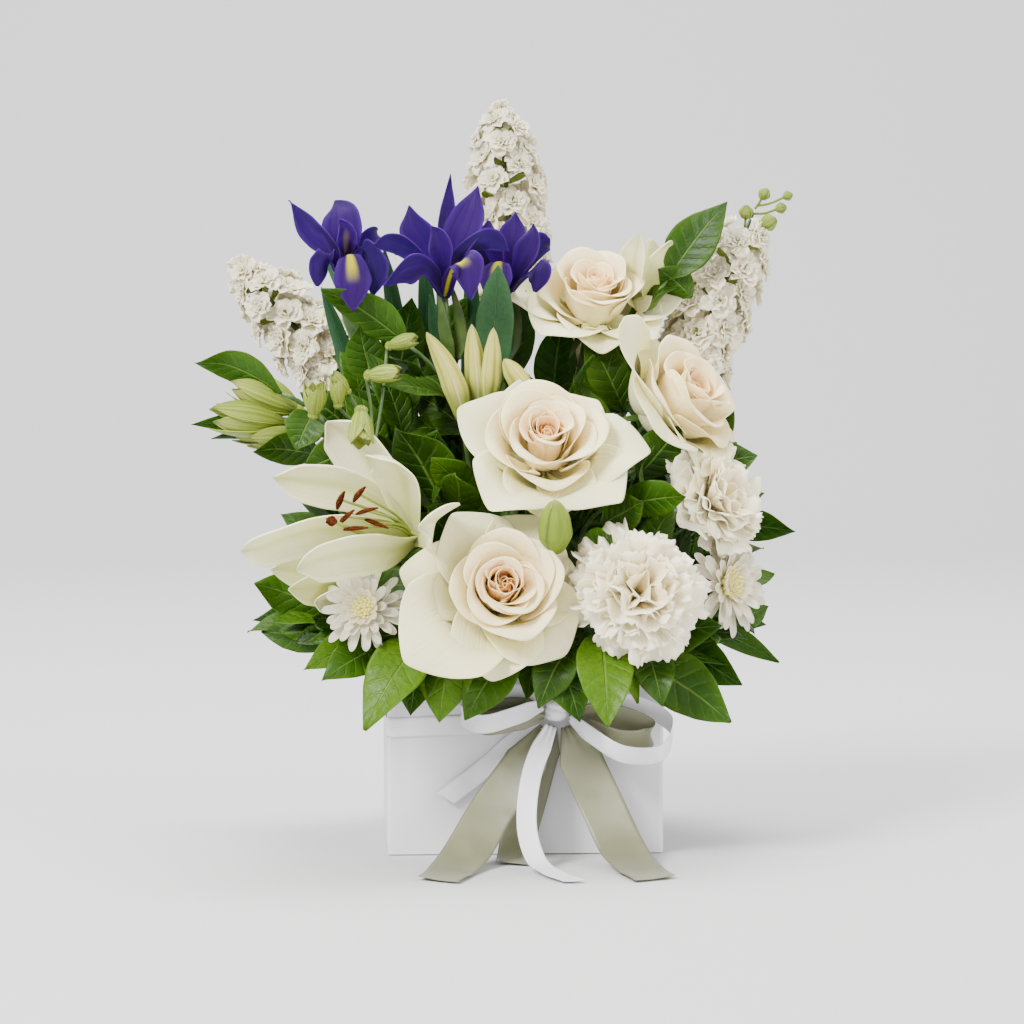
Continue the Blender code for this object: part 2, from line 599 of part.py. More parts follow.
    ribbon("white_tail_left",
           [v(7.4, -88, 73.5), v(-10, -83.5, 62), v(-27, -81.5, 46), v(-45, -81.5, 32)],
           [v(0.6, 0, 0.75)] * 4, WHITE_WIDTH, white_satin, 12)

    foam_block(CARD + GAP + LINER_WALL + GAP, foam_green, stem_cutters)


build()
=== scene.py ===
import math

import bpy
import numpy as np
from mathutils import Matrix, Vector


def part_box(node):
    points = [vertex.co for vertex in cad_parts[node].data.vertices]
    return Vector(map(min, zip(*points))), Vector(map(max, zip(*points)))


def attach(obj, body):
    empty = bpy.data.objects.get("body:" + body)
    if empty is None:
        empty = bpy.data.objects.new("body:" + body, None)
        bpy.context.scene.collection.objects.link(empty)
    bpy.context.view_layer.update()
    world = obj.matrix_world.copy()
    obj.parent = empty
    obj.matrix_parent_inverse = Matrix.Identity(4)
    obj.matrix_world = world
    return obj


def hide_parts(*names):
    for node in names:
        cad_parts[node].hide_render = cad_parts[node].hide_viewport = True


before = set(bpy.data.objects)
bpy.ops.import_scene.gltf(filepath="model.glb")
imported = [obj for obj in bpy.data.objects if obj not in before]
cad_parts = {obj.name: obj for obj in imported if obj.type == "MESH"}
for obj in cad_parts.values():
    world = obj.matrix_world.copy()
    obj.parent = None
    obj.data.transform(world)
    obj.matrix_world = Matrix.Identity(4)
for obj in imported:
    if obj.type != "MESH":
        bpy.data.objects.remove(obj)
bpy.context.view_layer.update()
MM = 0.001

# ---------------------------------------------------------------------------------------------------------
# Camera, floor and light. A long lens at table height looks very slightly down at the front of the box;
# soft lamps stand at both sides over a plain pale floor.
camera_data = bpy.data.cameras.new("camera")
camera_data.lens = 118.4
camera_data.clip_end = 60.0
camera = bpy.data.objects.new("camera", camera_data)
EYE = (-0.106, -1.9515, 0.303)
LOOKS_DOWN = 3.38
TURNED = -3.0
camera.location = EYE
camera.rotation_euler = (math.radians(90 - LOOKS_DOWN), 0, math.radians(TURNED))
bpy.context.scene.collection.objects.link(camera)
bpy.context.scene.camera = camera


class Wire:
    """A shader value that can be used in sums; each operation adds the Math node that it needs."""

    def __init__(self, paint, socket):
        self.paint = paint
        self.socket = socket

    def sum(self, operation, *others):
        return self.paint.node("ShaderNodeMath", {"operation": operation}, dict(enumerate((self, *others))))

    def __add__(self, other):
        return self.sum("ADD", other)

    def __mul__(self, other):
        return self.sum("MULTIPLY", other)

    def __sub__(self, other):
        return self.sum("SUBTRACT", other)

    def __rsub__(self, other):
        return self.paint.node("ShaderNodeMath", {"operation": "SUBTRACT"}, {0: other, 1: self})

    def __abs__(self):
        return self.sum("ABSOLUTE")

    __radd__ = __add__
    __rmul__ = __mul__

    def fold(self):
        """Distance from the nearest whole number, 0 to 0.5."""
        return abs(self.sum("FRACT") - 0.5)

    def step(self, low, high):
        """0 below low, 1 above high, and a soft ramp between."""
        settings = {"interpolation_type": "SMOOTHSTEP"}
        return self.paint.node("ShaderNodeMapRange", settings, {0: self, 1: low, 2: high})


class Paint:
    """A material on one Principled shader, with its socket values given by name."""

    def __init__(self, name, values):
        self.material = bpy.data.materials.new(name)
        self.material.use_nodes = True
        self.tree = self.material.node_tree
        self.shader = self.tree.nodes["Principled BSDF"]
        for socket, value in values.items():
            self.feed(self.shader.inputs[socket], value)

    def feed(self, socket, value):
        if isinstance(value, Wire):
            self.tree.links.new(value.socket, socket)
        else:
            socket.default_value = value

    def node(self, kind, settings, values, out=0):
        made = self.tree.nodes.new(kind)
        for key, value in settings.items():
            if key == "stops":
                ramp = made.color_ramp
                while len(ramp.elements) < len(value):
                    ramp.elements.new(0.5)
                for element, (place, colour) in zip(ramp.elements, value):
                    element.position = place
                    element.color = (*colour, 1)
            else:
                setattr(made, key, value)
        for key, value in values.items():
            self.feed(made.inputs[key], value)
        return Wire(self, made.outputs[out])

    def ramp(self, factor, *stops):
        return self.node("ShaderNodeValToRGB", {"stops": stops}, {0: factor})

    def mix(self, factor, a, b):
        a, b = [(*c, 1) if isinstance(c, tuple) else c for c in (a, b)]
        return self.node("ShaderNodeMix", {"data_type": "RGBA"}, {0: factor, 6: a, 7: b}, 2)

    def noise(self, scale, detail=3.0, stretch=None):
        """Noise in the row frame; scale is lumps per metre, stretch an uneven scale on X, Y and Z."""
        place = self.node("ShaderNodeTexCoord", {}, {}, 3)
        if stretch:
            place = self.node("ShaderNodeMapping", {}, {0: place, 3: stretch})
        return self.node("ShaderNodeTexNoise", {}, {"Vector": place, "Scale": scale, "Detail": detail})

    def lines(self, place, detail=2.0):
        """Fine lines along a petal or a ribbon; place runs across it."""
        return self.node("ShaderNodeTexNoise", {"noise_dimensions": "1D"}, {"W": place, "Detail": detail})

    def veins(self, across, along):
        """Forked veins, drawn out along a petal."""
        place = self.node("ShaderNodeCombineXYZ", {}, {0: across, 1: along})
        return self.node("ShaderNodeTexNoise", {"noise_dimensions": "2D"},
                         {"Vector": place, "Scale": 1.0, "Detail": 3.0})

    def lie(self):
        """Across -1 to 1, along 0 to 1, and the tone of this petal, leaf or strip."""
        found = self.node("ShaderNodeAttribute", {"attribute_name": "lie"}, {}, 1)
        return [self.node("ShaderNodeSeparateXYZ", {}, {0: found}, k) for k in range(3)]

    def whorl(self):
        """0 at the heart of the bloom, 1 at its outermost petals."""
        return self.node("ShaderNodeAttribute", {"attribute_name": "whorl"}, {}, 2)

    def colour(self, wire):
        self.feed(self.shader.inputs["Base Color"], wire)

    def rough(self, wire):
        self.feed(self.shader.inputs["Roughness"], wire)

    def bump(self, height, depth):
        """height is 0 to 1 and depth its size in metres."""
        normal = self.node("ShaderNodeBump", {}, {"Height": height, "Distance": depth, "Strength": 1.0})
        self.feed(self.shader.inputs["Normal"], normal)
        return self


floor_paint = Paint("pale_floor", {"Base Color": (0.56, 0.56, 0.563, 1), "Roughness": 0.9})
REACH = 9.0
sweep = [(-6.0, 0.0), (2.2, 0.0)]
sweep += [(2.2 + 1.6 * math.sin(a), 1.6 - 1.6 * math.cos(a)) for a in np.linspace(0.1, math.pi / 2, 14)]
sweep.append((3.8, 8.0))
floor_mesh = bpy.data.meshes.new("floor_and_backdrop")
floor_mesh.from_pydata([(x, y, z) for y, z in sweep for x in (-REACH, REACH)], [],
                       [(2 * k, 2 * k + 1, 2 * k + 3, 2 * k + 2) for k in range(len(sweep) - 1)])
floor_mesh.shade_smooth()
floor_mesh.materials.append(floor_paint.material)
floor = bpy.data.objects.new("floor_and_backdrop", floor_mesh)
floor.location.z = -0.0006
bpy.context.scene.collection.objects.link(floor)

world = bpy.data.worlds.new("studio")
world.use_nodes = True
world.node_tree.nodes["Background"].inputs["Color"].default_value = (1.0, 0.985, 0.96, 1)
world.node_tree.nodes["Background"].inputs["Strength"].default_value = 1.12
bpy.context.scene.world = world


def lamp(name, place, aim, size, power):
    data = bpy.data.lights.new(name, "AREA")
    data.size = size
    data.energy = power
    made = bpy.data.objects.new(name, data)
    made.location = place
    made.rotation_euler = (Vector(aim) - Vector(place)).to_track_quat("-Z", "Y").to_euler()
    bpy.context.scene.collection.objects.link(made)


BOUQUET_HEART = (0, -0.03, 0.2)
BACKDROP_MIDDLE = (0, 3.6, 0.9)
lamp("key_lamp", (-1.5, -1.6, 1.9), BOUQUET_HEART, 0.9, 160)
lamp("fill_lamp", (1.8, -1.3, 0.9), BOUQUET_HEART, 1.4, 38)
lamp("top_lamp", (0.1, 0.6, 2.2), BOUQUET_HEART, 1.0, 44)
lamp("backdrop_lamp", (0.0, 0.8, 3.4), BACKDROP_MIDDLE, 2.6, 175)

# ---------------------------------------------------------------------------------------------------------
# The box: white card with a matte laminate, folded and glued into a square tray. It keeps the shape of the
# frame; its finish has the faint fibre of card.
card = Paint("white_card", {"Roughness": 0.5, "Specular IOR Level": 0.35})
fibre = card.noise(900, 5)
cloud = card.noise(14, 2)
card.colour(card.mix(cloud.step(0.35, 0.7), (0.7, 0.7, 0.73), (0.66, 0.66, 0.69)))
card.rough(0.42 + fibre * 0.2)
card.bump(fibre, 0.00006)


def dress(node, paint):
    """Gives a frame node its finish."""
    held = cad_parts[node]
    held.data.materials.clear()
    held.data.materials.append(paint.material)


dress("box_tray", card)

# ---------------------------------------------------------------------------------------------------------
# The liner and the foam: a thin dark green moulded tray that holds water, and a brick of fine open foam.
# Both keep the shape of the frame; the foam shows its pores and a wet, uneven green.
film = Paint("liner_film", {"Roughness": 0.3, "Coat Weight": 0.3})
film.colour(film.mix(film.noise(60).step(0.3, 0.7), (0.03, 0.07, 0.04), (0.05, 0.11, 0.06)))
film.bump(film.noise(240, 2), 0.0002)
dress("water_liner", film)

foam = Paint("foam_green", {"Roughness": 0.9})
pores = foam.noise(1500, 4)
foam.colour(foam.mix(pores.step(0.35, 0.65), (0.03, 0.1, 0.04), (0.09, 0.22, 0.09)))
foam.bump(pores, 0.0008)
dress("foam_brick", foam)

# ---------------------------------------------------------------------------------------------------------
# Ribbons: a narrow white satin and a wide sage satin, tied together in a bow over a band round the box.
# Each is a woven strip with fine threads along it, a tight selvedge at both edges and a soft sheen.


class Sheets:
    """Gathers the thin sheets of one piece: each is a grid of points in millimetres with its own lie."""

    def __init__(self):
        self.points, self.lies, self.whorls, self.faces = [], [], [], []
        self.count = 0

    def add(self, grid, across, along, tone, whorl=0.0, closed=False):
        rows, cols = grid.shape[:2]
        lie = np.empty((rows, cols, 3))
        for k, value in enumerate((across, along, tone)):
            lie[..., k] = value
        self.points.append(grid.reshape(-1, 3))
        self.lies.append(lie.reshape(-1, 3))
        self.whorls.append(np.full(rows * cols, whorl))
        index = np.arange(rows * cols).reshape(rows, cols) + self.count
        if closed:
            index = np.concatenate([index, index[:, :1]], 1)
        corners = index[:-1, :-1], index[:-1, 1:], index[1:, 1:], index[1:, :-1]
        self.faces.append(np.stack(corners, -1).reshape(-1, 4))
        self.count += rows * cols
        return self

    def lay(self, form, tone, axes=None, centre=0.0, whorl=0.0):
        """Adds a petal or a blade; axes and centre carry it out of its bloom's own frame."""
        grid, across, along = form
        if axes is not None:
            grid = grid @ axes.T + centre
        self.add(grid, across, along, tone, whorl)

    def piece(self, name, paint, thick, finer=0, body="arrangement"):
        points = np.concatenate(self.points) * MM
        faces = np.concatenate(self.faces)
        mesh = bpy.data.meshes.new(name)
        mesh.vertices.add(len(points))
        mesh.vertices.foreach_set("co", points.astype(np.float32).ravel())
        mesh.loops.add(faces.size)
        mesh.loops.foreach_set("vertex_index", faces.astype(np.int32).ravel())
        mesh.polygons.add(len(faces))
        mesh.polygons.foreach_set("loop_start", np.arange(0, faces.size, 4, dtype=np.int32))
        mesh.polygons.foreach_set("use_smooth", np.ones(len(faces), dtype=bool))
        mesh.update(calc_edges=True)
        lie = mesh.attributes.new("lie", "FLOAT_VECTOR", "POINT")
        lie.data.foreach_set("vector", np.concatenate(self.lies).astype(np.float32).ravel())
        whorl = mesh.attributes.new("whorl", "FLOAT", "POINT")
        whorl.data.foreach_set("value", np.concatenate(self.whorls).astype(np.float32))
        mesh.materials.append(paint.material)
        made = bpy.data.objects.new(name, mesh)
        bpy.context.scene.collection.objects.link(made)
        if finer:
            smooth = made.modifiers.new("finer", "SUBSURF")
            smooth.levels = smooth.render_levels = finer
        if thick:
            skin = made.modifiers.new("thickness", "SOLIDIFY")
            skin.thickness = thick * MM
            skin.offset = 0
        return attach(made, body)


def curve_through(knots, count):
    """Evenly many points on a smooth curve through the knots."""
    knots = np.asarray(knots, float)
    ends = np.vstack([2 * knots[0] - knots[1], knots, 2 * knots[-1] - knots[-2]])
    at = np.linspace(0, len(knots) - 1, count)
    k = np.minimum(at.astype(int), len(knots) - 2)
    t = (at - k)[:, None]
    a, b, c, d = ends[k], ends[k + 1], ends[k + 2], ends[k + 3]
    return 0.5 * (2 * b + (c - a) * t + (2 * a - 5 * b + 4 * c - d) * t**2 + (3 * b - a - 3 * c + d) * t**3)


def unit(v):
    v = np.asarray(v, float)
    return v / np.linalg.norm(v, axis=-1, keepdims=True)


def satin(name, light, shade, edge):
    paint = Paint(name, {"Specular IOR Level": 0.6, "Sheen Weight": 0.25, "Sheen Roughness": 0.4,
                         "Anisotropic": 0.5})
    across, along, _ = paint.lie()
    thread = paint.lines(across * 60)
    weft = (along * 900).fold()
    selvedge = abs(across).step(0.9, 0.95)
    body = paint.mix(paint.noise(45, 2).step(0.35, 0.65), light, shade)
    paint.colour(paint.mix(selvedge * 0.6, body, edge))
    paint.rough(0.3 + thread * 0.12 + selvedge * 0.12)
    return paint.bump(thread * 0.7 + weft * 0.3, 0.00004)


white_satin = satin("white_satin", (0.8, 0.79, 0.84), (0.74, 0.73, 0.78), (0.68, 0.67, 0.71))
sage_satin = satin("sage_satin", (0.19, 0.19, 0.106), (0.16, 0.16, 0.09), (0.13, 0.128, 0.075))

WHITE_WIDTH = 11.0
SAGE_WIDTH = 25.0
PINCH = 6.5


def ribbon(name, knots, across, width, paint, node, both_ends=False, cup=0.0, cut=0.0):
    """A strip of satin through the knots, drawn in where the bow holds it. cup curves it across, and cut
    slants its free end."""
    count = 14 * len(knots)
    route = curve_through(knots, count)
    along = unit(np.gradient(route, axis=0))
    lie = curve_through([unit(v) for v in across], count)
    lie = unit(lie - along * (lie * along).sum(1, keepdims=True))
    out = np.cross(along, lie)
    t = np.linspace(0, 1, count)
    from_knot = np.minimum(t, 1 - t) if both_ends else t
    half = np.minimum(width / 2, PINCH / 2 + from_knot * width * 2.2)
    gathered = 1 - half / (width / 2)
    u = np.linspace(-1, 1, 13)
    side = half[:, None] * u
    pleat = np.cos(u * math.pi * 2.5) * 1.6 * gathered[:, None]
    lift = pleat + cup * (u**2 - 0.4)
    grid = route[:, None] + lie[:, None] * side[..., None] + out[:, None] * lift[..., None]
    if cut:
        ease = np.clip((t - 0.9) / 0.1, 0, 1)[:, None] * u
        grid = grid + ease[..., None] * (along[-1] * cut)
    grid[..., 2] = np.maximum(grid[..., 2], 0.25)
    made = Sheets().add(grid, u, t[:, None], 0.5).piece(name, paint, 0.3, body="box")
    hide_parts(node)
    run = np.linalg.norm(np.diff(route, axis=0), axis=1).sum()
    run * MM


def rounded_square(half, radius, steps):
    corners = []
    for k, (sx, sy) in enumerate(((1, 1), (-1, 1), (-1, -1), (1, -1))):
        turn = math.pi / 2 * (k + np.linspace(0, 1, steps))
        corners.append(np.stack([sx * (half - radius) + radius * np.cos(turn),
                                 sy * (half - radius) + radius * np.sin(turn)], -1))
    return np.concatenate(corners)


band_low, band_high = (np.array(corner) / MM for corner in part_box("ribbon_band"))
loop = rounded_square(band_high[0] - 0.2, 2.6, 6)
u = np.linspace(-1, 1, 7)
middle_z = (band_low[2] + band_high[2]) / 2
loop_length = np.linalg.norm(np.diff(np.vstack([loop, loop[:1]]), axis=0), axis=1).sum()
share = np.linspace(0, 1, len(loop))
sag = 1.2 * np.sin(share * 2 * math.pi * 2)
grid = np.zeros((len(u), len(loop), 3))
grid[..., :2] = loop
BOW_X = 16  # the band hangs lower to both sides of the bow
slack = 11 * np.clip((BOW_X - loop[:, 0]) / 93, 0, 1) + 4 * np.clip((loop[:, 0] - BOW_X) / 62, 0, 1)
grid[..., 2] = middle_z + u[:, None] * WHITE_WIDTH / 2 + sag - slack
band = Sheets().add(grid, u[:, None], share, 0.5, closed=True)
band = band.piece("band_round_box", white_satin, 0.25, body="box")
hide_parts("ribbon_band")
loop_length * MM

up = (0, -0.25, 1)
ribbon("white_loop_to_left", [(8, -86.2, 85), (-8, -88, 92), (-28, -90, 90), (-37, -98, 82), (-26, -108, 77),
                              (-8, -105, 81), (8.6, -94, 86)], [up] * 7, WHITE_WIDTH, white_satin,
       "white_loop_left", True, cup=0.6)
ribbon("white_loop_to_right", [(24.4, -86, 84), (42, -86, 88), (64, -88, 84), (80, -94, 74), (74, -106, 60),
                               (52, -112, 60), (34, -104, 70), (23.6, -94, 78)], [(0, -0.4, 1)] * 8,
       WHITE_WIDTH, white_satin, "white_loop_right", True, cup=0.6)
ribbon("sage_loop_to_left", [(9.4, -88.9, 80), (-4, -92.5, 83), (-20, -94, 82), (-29, -98, 79.5),
                             (-22, -102, 77), (-6, -99, 79), (9.2, -90.4, 79.8)], [(0, 0, 1)] * 7, 14.0,
       sage_satin, "sage_loop_left", True)
ribbon("sage_loop_to_right", [(23.4, -88, 79), (40, -91, 80), (56, -92.5, 77), (68, -96, 71),
                              (64, -100, 66), (50, -103.5, 66), (36, -99, 71), (24, -90, 77)],
       [(0, -0.2, 1)] * 8, 14.0, sage_satin, "sage_loop_right", True)
ribbon("sage_tail_to_left", [(10, -90, 73), (-3, -98, 52), (-20, -108, 30), (-34, -124, 10),
                             (-44, -146, 2.2), (-52, -168, 1)],
       [(1, 0, 0.45), (1, 0, 0.4), (1, 0.1, 0.2), (1, 0.25, 0), (1, 0.35, 0), (1, 0.35, 0)], SAGE_WIDTH,
       sage_satin, "sage_tail_left", cut=3.0, cup=0.7)
ribbon("sage_tail_to_right", [(22, -87, 73), (31, -94, 52), (42, -105, 28), (51, -122, 9), (58, -146, 2.2),
                              (64, -170, 1)], [(1, 0, 0), (1, 0, -0.2), (1, -0.1, -0.1), (1, -0.2, 0),
                                               (1, -0.25, 0), (1, -0.25, 0)], SAGE_WIDTH, sage_satin,
       "sage_tail_right", cut=-3.0, cup=0.7)
ribbon("sage_tail_behind", [(14, -83.4, 73), (8, -83, 56), (2, -84, 34), (-4, -88, 14), (-7, -98, 2.8),
                            (-9, -116, 1)], [(1, 0, 0)] * 4 + [(1, 0.1, 0)] * 2, 20.0, sage_satin,
       "sage_tail_inner", cut=3.0)
ribbon("white_tail_at_centre", [(13, -94, 74), (2, -106, 50), (-2, -120, 24), (2, -136, 6.5),
                                (10, -156, 2.2), (20, -176, 1)],
       [(1, 0.2, 0.3), (1, 0.2, 0.1), (1, 0, 0), (1, -0.1, 0), (1, -0.4, 0), (1, -0.5, 0)], WHITE_WIDTH,
       white_satin, "white_tail_centre", cut=2.0, cup=0.4)
ribbon("white_tail_to_left", [(7.4, -88, 73.5), (-10, -83.5, 62), (-27, -81.5, 46), (-45, -81.5, 32)],
       [(0.6, 0, 0.75)] * 4, WHITE_WIDTH, white_satin, "white_tail_left", cut=2.0)

# The knot is a short wrap of the white ribbon, creased where it turns round the others
knot_low, knot_high = (np.array(corner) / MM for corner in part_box("ribbon_knot"))
middle, reach = (knot_low + knot_high) / 2, (knot_high - knot_low) / 2
turns = np.linspace(0, 2 * math.pi, 33)[:-1]
rise = np.linspace(-1, 1, 15)
bulge = 1 - 0.35 * rise[:, None] ** 4 - 0.25 * rise[:, None] ** 12
crease = 1 + 0.07 * np.sin(rise[:, None] * 9 + turns * 2) * (1 - rise[:, None] ** 2)
grid = np.stack([middle[0] + reach[0] * bulge * crease * np.cos(turns),
                 middle[1] + reach[1] * bulge * crease * np.sin(turns),
                 np.broadcast_to(middle[2] + reach[2] * rise[:, None], (15, 32))], -1)
ends = [grid[:1] * s + (1 - s) * grid[:1].mean(1, keepdims=True) for s in (0.02, 0.6)]
tops = [grid[-1:] * s + (1 - s) * grid[-1:].mean(1, keepdims=True) for s in (0.6, 0.02)]
grid = np.concatenate([*ends, grid, *tops])
knot = Sheets().add(grid, np.linspace(-0.85, 0.85, 19)[:, None], np.linspace(0, 0.1, 32), 0.5, closed=True)
knot = knot.piece("bow_knot", white_satin, 0, body="box")
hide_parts("ribbon_knot")

# ---------------------------------------------------------------------------------------------------------
# Roses: full cream roses, each a wound heart inside whorls of petals that open wider and end in reflexed,
# pointed guard petals tinted green. Each stands on its own stem, stuck in the foam.
STEM_FOCUS = np.array((0.0, -5.0, 72.0))
STEM_START = 33.0


def stem_route(base, face, lift=0.0, count=18):
    """The stem's line from the foam to the bloom, the same as in the frame."""
    away = base - STEM_FOCUS
    way = unit(away + np.array((0, 0, lift)))
    reach = np.linalg.norm(away)
    corners = [STEM_FOCUS + way * STEM_START, STEM_FOCUS + way * reach * 0.62,
               base - unit(face) * reach * 0.22, base]
    t = np.linspace(0, 1, count)[:, None]
    s = 1 - t
    return s**3 * corners[0] + 3 * s * s * t * corners[1] + 3 * s * t * t * corners[2] + t**3 * corners[3]


def rod(sheets, route, radius, tone=0.5, sides=8):
    """A round stem along the route, closed at both ends; radius is one number or one for each point."""
    along = unit(np.gradient(route, axis=0))
    first = np.cross(along[0], (0.31, 0.17, 0.93))
    side = np.empty_like(route)
    for i, way in enumerate(along):
        first = unit(first - way * first.dot(way))
        side[i] = first
    other = np.cross(along, side)
    radius = np.broadcast_to(radius, len(route)).copy()
    turn = np.linspace(0, 2 * math.pi, sides + 1)[:-1]
    ring = side[:, None] * np.cos(turn)[:, None] + other[:, None] * np.sin(turn)[:, None]
    grid = route[:, None] + ring * radius[:, None, None]
    grid = np.concatenate([route[:1, None] + 0.02 * ring[:1], grid, route[-1:, None] + 0.02 * ring[-1:]])
    sheets.add(grid, np.linspace(0, 1, sides), np.linspace(0, 1, len(grid))[:, None], tone, closed=True)


def bloom_frame(face, roll=0.0):
    """Columns: two directions across the bloom and the way it faces."""
    n = unit(face)
    helper = np.array((0, 0, 1.0)) if abs(n[2]) < 0.95 else np.array((1.0, 0, 0))
    x = unit(np.cross(helper, n))
    y = np.cross(n, x)
    c, s = math.cos(roll), math.sin(roll)
    return np.stack([x * c + y * s, y * c - x * s, n], 1)


PROFILE_POINTS = 80  # along the curve that a petal follows from base to tip


def petal(length, width, leans, start=(2.0, 0.0), turn=0.0, wrap=None, shape=((0, 0.4), (0.5, 1), (1, 0.8)),
          drop=0.25, sharp=2.4, back=0.0, spiral=0.0, ruffle=(0.0, 1.0, 0.0), teeth=0.0, groove=0.0,
          rows=12, cols=11):
    """A petal in its bloom's own frame, growing from start = (radius, height). leans are its angles from
    the bloom's axis, from base to tip; wrap is how far it bends round the axis, as a radius or None to
    follow the axis; shape is its width from base to tip; drop and sharp round or point its end; back
    rolls its edges outwards; spiral tucks one edge under the next petal."""
    u = np.linspace(-1, 1, cols)
    s = np.linspace(0, 1, rows)
    fine = np.linspace(0, 1, PROFILE_POINTS)
    tilt = np.radians(np.interp(fine, np.linspace(0, 1, len(leans)), leans))
    tilt = np.convolve(np.pad(tilt, 6, mode="edge"), np.ones(13) / 13, mode="valid")
    step = length / (PROFILE_POINTS - 1)
    r = start[0] + np.concatenate([[0], np.cumsum(np.sin(tilt[1:]) * step)])
    h = start[1] + np.concatenate([[0], np.cumsum(np.cos(tilt[1:]) * step)])
    end = 1 - drop * np.abs(u) ** sharp
    if teeth:
        end = end - teeth * (np.abs((u * 4.3 + ruffle[2]) % 1 - 0.5) + 0.7 * np.abs((u * 11.3) % 1 - 0.5))
    reach = s[:, None] * end
    rr, hh, tt = (np.interp(reach, fine, line) for line in (r, h, tilt))
    half = width / 2 * np.interp(reach, *zip(*shape))
    x = half * u
    bend = np.maximum(np.abs(rr), width * 0.12) if wrap is None else np.full_like(rr, wrap)
    phi = x / bend
    side = bend * np.sin(phi)
    lift = bend * (1 - np.cos(phi))
    edge = np.abs(u) ** 3 * reach**2
    lift = lift - back * edge - spiral * u * reach
    lift = lift + ruffle[0] * np.sin(u * math.pi * ruffle[1] + ruffle[2]) * reach**2
    lift = lift - groove * np.exp(-((u * 4) ** 2)) * np.sin(math.pi * np.clip(reach, 0, 1))
    radius = rr - np.cos(tt) * lift
    height = hh + np.sin(tt) * lift
    c, sn = math.cos(turn), math.sin(turn)
    grid = np.stack([radius * c - side * sn, radius * sn + side * c, height], -1)
    return grid, u, reach


rose_petal = Paint("cream_petal", {"Roughness": 0.6, "Subsurface Weight": 0.22, "Subsurface Scale": 0.005,
                                   "Subsurface Radius": (1.0, 0.75, 0.45), "Specular IOR Level": 0.3})
across, along, _ = rose_petal.lie()
whorl = rose_petal.whorl()
heart = rose_petal.mix(whorl.step(0.05, 0.75), (1.0, 0.61, 0.25), (1.0, 0.84, 0.46))
guard = rose_petal.mix(whorl.step(0.75, 1.0), heart, (0.86, 0.82, 0.45))
base_green = (1 - along.step(0.0, 0.55)) * whorl.step(0.3, 1.0)
tinted = rose_petal.mix(base_green * 0.75, guard, (0.6, 0.62, 0.26))
mottled = rose_petal.mix(rose_petal.noise(70, 4).step(0.45, 0.75) * 0.35, tinted, (0.9, 0.7, 0.4))
veins = rose_petal.veins(across * 14, along * 1.6)
rose_petal.colour(rose_petal.mix(veins.step(0.55, 0.8) * 0.25, mottled, (0.97, 0.86, 0.62)))
rose_petal.bump(veins * 0.7 + rose_petal.noise(400, 2) * 0.3, 0.0006)

stem_skin = Paint("stem_green", {"Roughness": 0.45, "Subsurface Weight": 0.1, "Subsurface Scale": 0.003})
stem_skin.colour(stem_skin.mix(stem_skin.noise(90).step(0.3, 0.7), (0.02, 0.055, 0.008),
                               (0.06, 0.11, 0.015)))
stem_skin.bump(stem_skin.noise(500, 3, (1, 1, 0.1)), 0.0003)


blooms = []


def keep_clear(centre, face, radius):
    """Notes the room that a bloom takes, so that no filler leaf grows through it."""
    for share in (0.0, 0.8):
        blooms.append((np.asarray(centre, float) + unit(face) * radius * share, radius))


def stand_on_stem(name, base, face, radius, node, lift=0.0):
    """Adds the stem that carries a bloom, and hides the frame's solid."""
    sheets = Sheets()
    rod(sheets, stem_route(np.asarray(base, float), face, lift), radius)
    sheets.piece(name + "_stem", stem_skin, 0)
    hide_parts(node)


# Whorls from the heart out: petals, length, width, leans, start height, drop, sharp, back, spiral
ROSE_WHORLS = (
    (3, 0.6, 0.5, (16, 4, -12, -24, -18), -0.42, 0.2, 2.0, 0.0, 0.04),
    (4, 0.72, 0.72, (28, 10, -6, -16, -4), -0.44, 0.2, 2.2, 0.0, 0.07),
    (4, 0.85, 1.0, (42, 14, 0, -8, 16), -0.46, 0.22, 2.2, 0.03, 0.11),
    (4, 0.98, 1.22, (58, 24, 4, 0, 12, 78), -0.48, 0.24, 1.9, 0.1, 0.13),
    (4, 1.06, 1.45, (74, 40, 14, 6, 20, 104), -0.5, 0.28, 1.6, 0.2, 0.13),
    (4, 1.16, 1.6, (90, 56, 24, 14, 30, 112), -0.54, 0.32, 1.4, 0.3, 0.1),
)


SEPALS = 5


